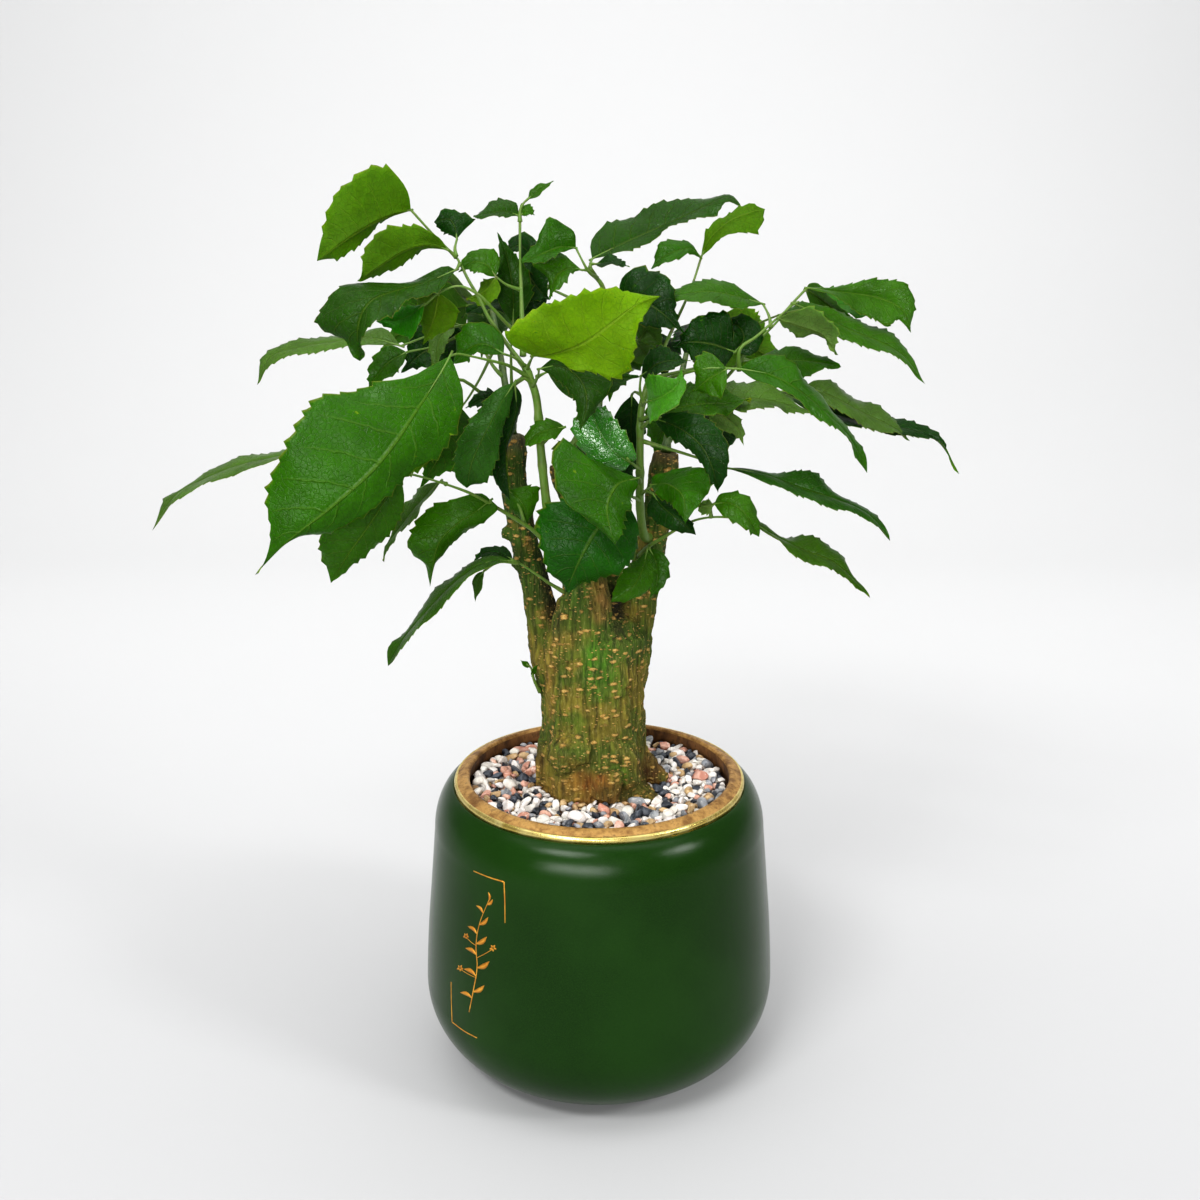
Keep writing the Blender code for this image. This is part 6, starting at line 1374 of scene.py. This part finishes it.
# ---------------------------------------------------------------- soil
soil = Shell()
NR, NA = 34, 120
rings = []
for k in range(NR):
    r = 60.0 * (k / (NR - 1)) ** 0.8 + 0.6
    ring = []
    for s in range(NA):
        w = 2 * math.pi * s / NA
        x, y = min(r, 59.2) * math.cos(w), min(r, 59.2) * math.sin(w)
        z = 126.9 + 0.9 * fractal(Vector((x, y, 0.0)) * 0.16 + Vector((4, 9, 1)), 4) - 1.6 * smoothstep(53.0, 59.0, r)
        ring.append(soil.vert((x, y, z)))
    rings.append(ring)
for r, z in ((60.6, 122.0), (67.0, 110.0), (68.5, 100.0), (70.0, 72.0), (71.5, 40.0), (65.6, 19.0), (55.0, 8.6)):
    rings.append([soil.vert((r * math.cos(2 * math.pi * s / NA), r * math.sin(2 * math.pi * s / NA), z)) for s in range(NA)])
for a, b in zip(rings, rings[1:]):
    for s in range(NA):
        t = (s + 1) % NA
        soil.face((a[s], b[s], b[t], a[t]), 0)
soil.face(tuple(rings[0]), 0)
soil.face(tuple(reversed(rings[-1])), 0)
soil.build("soil_looks", [M_SOIL], "potting_soil", ("soil",))

# ---------------------------------------------------------------- gravel
trunk_tree = BVHTree.FromPolygons([v.co * 1000.0 for v in trunk.data.vertices], [tuple(p.vertices) for p in trunk.data.polygons])
KINDS = [  # name, share, low, high, vein, vein amount, roughness
    ("white", 0.44, srgb(214, 208, 200), srgb(246, 243, 238), srgb(168, 140, 116), 0.35, 0.42),
    ("grey", 0.13, srgb(120, 124, 130), srgb(172, 174, 178), srgb(210, 208, 204), 0.5, 0.46),
    ("slate", 0.20, srgb(34, 38, 46), srgb(76, 82, 92), srgb(140, 144, 150), 0.25, 0.4),
    ("salmon", 0.13, srgb(186, 128, 108), srgb(226, 182, 162), srgb(238, 224, 212), 0.55, 0.48),
    ("tan", 0.10, srgb(150, 116, 76), srgb(204, 176, 132), srgb(232, 220, 196), 0.4, 0.5),
]
PEBBLE_MATS = [pebble_material("pebble_" + k[0], *k[2:]) for k in KINDS]
base = bmesh.new()
bmesh.ops.create_icosphere(base, subdivisions=3, radius=1.0)
BALL_V = [v.co.copy() for v in base.verts]
BALL_F = [tuple(v.index for v in f.verts) for f in base.faces]
base.free()
small = bmesh.new()
bmesh.ops.create_icosphere(small, subdivisions=2, radius=1.0)
SMALL_V = [v.co.copy() for v in small.verts]
SMALL_F = [tuple(v.index for v in f.verts) for f in small.faces]
small.free()
rng = random.Random(77)
heaps = [Shell() for _ in KINDS]
placed = []


def pick_kind():
    x = rng.random()
    for i, k in enumerate(KINDS):
        x -= k[1]
        if x < 0:
            return i
    return 0


def pebble(centre, size, kind, fine):
    """A worn chip: a ball cut by a few planes, rounded again and stretched."""
    verts, faces = (BALL_V, BALL_F) if fine else (SMALL_V, SMALL_F)
    cuts = []
    for _ in range(rng.randint(5, 8)):
        d = Vector((rng.gauss(0, 1), rng.gauss(0, 1), rng.gauss(0, 1))).normalized()
        cuts.append((d, rng.uniform(0.38, 0.8)))
    sx, sy, sz = rng.uniform(0.95, 1.65), rng.uniform(0.75, 1.05), rng.uniform(0.6, 0.9)
    spin = Matrix.Rotation(rng.uniform(0, 6.28), 3, 'Z') @ Matrix.Rotation(rng.gauss(0, 0.45), 3, 'X') @ Matrix.Rotation(rng.gauss(0, 0.45), 3, 'Y')
    off = Vector((rng.uniform(0, 50), rng.uniform(0, 50), rng.uniform(0, 50)))
    shade = rng.uniform(0.82, 1.0)
    tone = (shade, shade * rng.uniform(0.97, 1.0), shade * rng.uniform(0.94, 1.0))
    sh = heaps[kind]
    ids = []
    for v in verts:
        q = v.copy()
        for d, lim in cuts:
            over = q.dot(d) - lim
            if over > 0:
                q -= d * over * 0.93
        q *= 1.0 + 0.05 * noise.noise(v * 1.7 + off)
        q = spin @ Vector((q.x * sx, q.y * sy, q.z * sz)) * size
        ids.append(sh.vert(centre + q, (0.0, 0.0, 0.0), tone))
    for f in faces:
        sh.face([ids[i] for i in f], 0)


def free(x, y, z, size, tight):
    near = trunk_tree.find_nearest(Vector((x, y, z)))
    if near[3] is not None and near[3] < size * 0.55:
        return False
    hit = trunk_tree.ray_cast(Vector((x, y, z)), Vector((0, 0, 1)))
    if hit[0] is not None and hit[1].z > 0:
        return False
    for a, b, c, s in placed:
        if (a - x) ** 2 + (b - y) ** 2 + ((c - z) * 1.3) ** 2 < (tight * (s + size)) ** 2:
            return False
    return True


for layer, tries, tight, zlow, zhigh, fine in ((0, 12000, 0.76, 128.3, 129.6, True), (1, 8000, 0.64, 126.6, 127.9, False)):
    for _ in range(tries):
        w = rng.uniform(0, 2 * math.pi)
        r = math.sqrt(rng.uniform(16.0 ** 2, 58.0 ** 2))
        size = min(3.7, max(1.7, rng.gauss(2.5, 0.55))) * (1.0 if layer == 0 else 0.9)
        if r > 58.2 - size * 0.8:
            continue
        x, y = r * math.cos(w), r * math.sin(w)
        z = rng.uniform(zlow, zhigh) - 0.5 * smoothstep(50, 58, r)
        if not free(x, y, z, size, tight):
            continue
        placed.append((x, y, z, size))
        pebble(Vector((x, y, z)), size, pick_kind(), fine)
for k, sh in zip(KINDS, heaps):
    heap = sh.build("gravel_" + k[0], [PEBBLE_MATS[KINDS.index(k)]], "gravel", ("gravel",))


# ---------------------------------------------------------------- studio
floor_mat = floor_material()
floor = Shell()
prof = [(-2.4, 0.0)] + [(0.9 + 0.9 * math.sin(a), 0.9 - 0.9 * math.cos(a)) for a in [math.pi / 2 * k / 24 for k in range(25)]] + [(1.8, 3.4)]
rows = []
for y, z in prof:
    rows.append([floor.vert((x * 1000.0, y * 1000.0, z * 1000.0 - 0.05)) for x in (-3.4, -1.5, 0.0, 1.5, 3.4)])
for a, b in zip(rows, rows[1:]):
    for k in range(4):
        floor.face((a[k], a[k + 1], b[k + 1], b[k]), 0)
me = bpy.data.meshes.new("studio_floor")
me.from_pydata(floor.verts, [], floor.faces)
me.materials.append(floor_mat)
me.polygons.foreach_set("use_smooth", [True] * len(me.polygons))
studio = bpy.data.objects.new("studio_floor", me)
bpy.context.scene.collection.objects.link(studio)
studio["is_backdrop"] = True


def area(name, at, aim, size, power, colour=(1.0, 1.0, 1.0), size_y=None):
    la = bpy.data.lights.new(name, 'AREA')
    la.shape = 'RECTANGLE'
    la.size = size
    la.size_y = size_y or size
    la.energy = power
    la.color = colour
    ob = bpy.data.objects.new(name, la)
    ob.location = at
    ob.rotation_euler = (Vector(aim) - Vector(at)).to_track_quat('-Z', 'Y').to_euler()
    bpy.context.scene.collection.objects.link(ob)
    return ob


world = bpy.data.worlds.new("studio")
bpy.context.scene.world = world
world.use_nodes = True
world.node_tree.nodes["Background"].inputs[0].default_value = (0.98, 0.99, 1.0, 1.0)
world.node_tree.nodes["Background"].inputs[1].default_value = 0.30
area("top", (0.0, 0.1, 2.1), (0.0, 0.05, 0.0), 2.6, 10.0)
area("key", (-0.42, -0.76, 1.05), (0.0, 0.0, 0.18), 0.5, 7.5, size_y=0.2)
area("window", (-0.30, -1.17, 0.43), (0.0, 0.0, 0.14), 0.85, 8.5, size_y=0.17)
area("side", (1.0, -0.55, 0.8), (0.0, 0.0, 0.18), 0.25, 5.5)
area("front", (0.1, -1.5, 0.75), (0.0, 0.0, 0.2), 1.0, 1.5)
area("backdrop", (0.0, 0.35, 2.3), (0.0, 1.8, 1.1), 2.6, 32.0)

low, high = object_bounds()
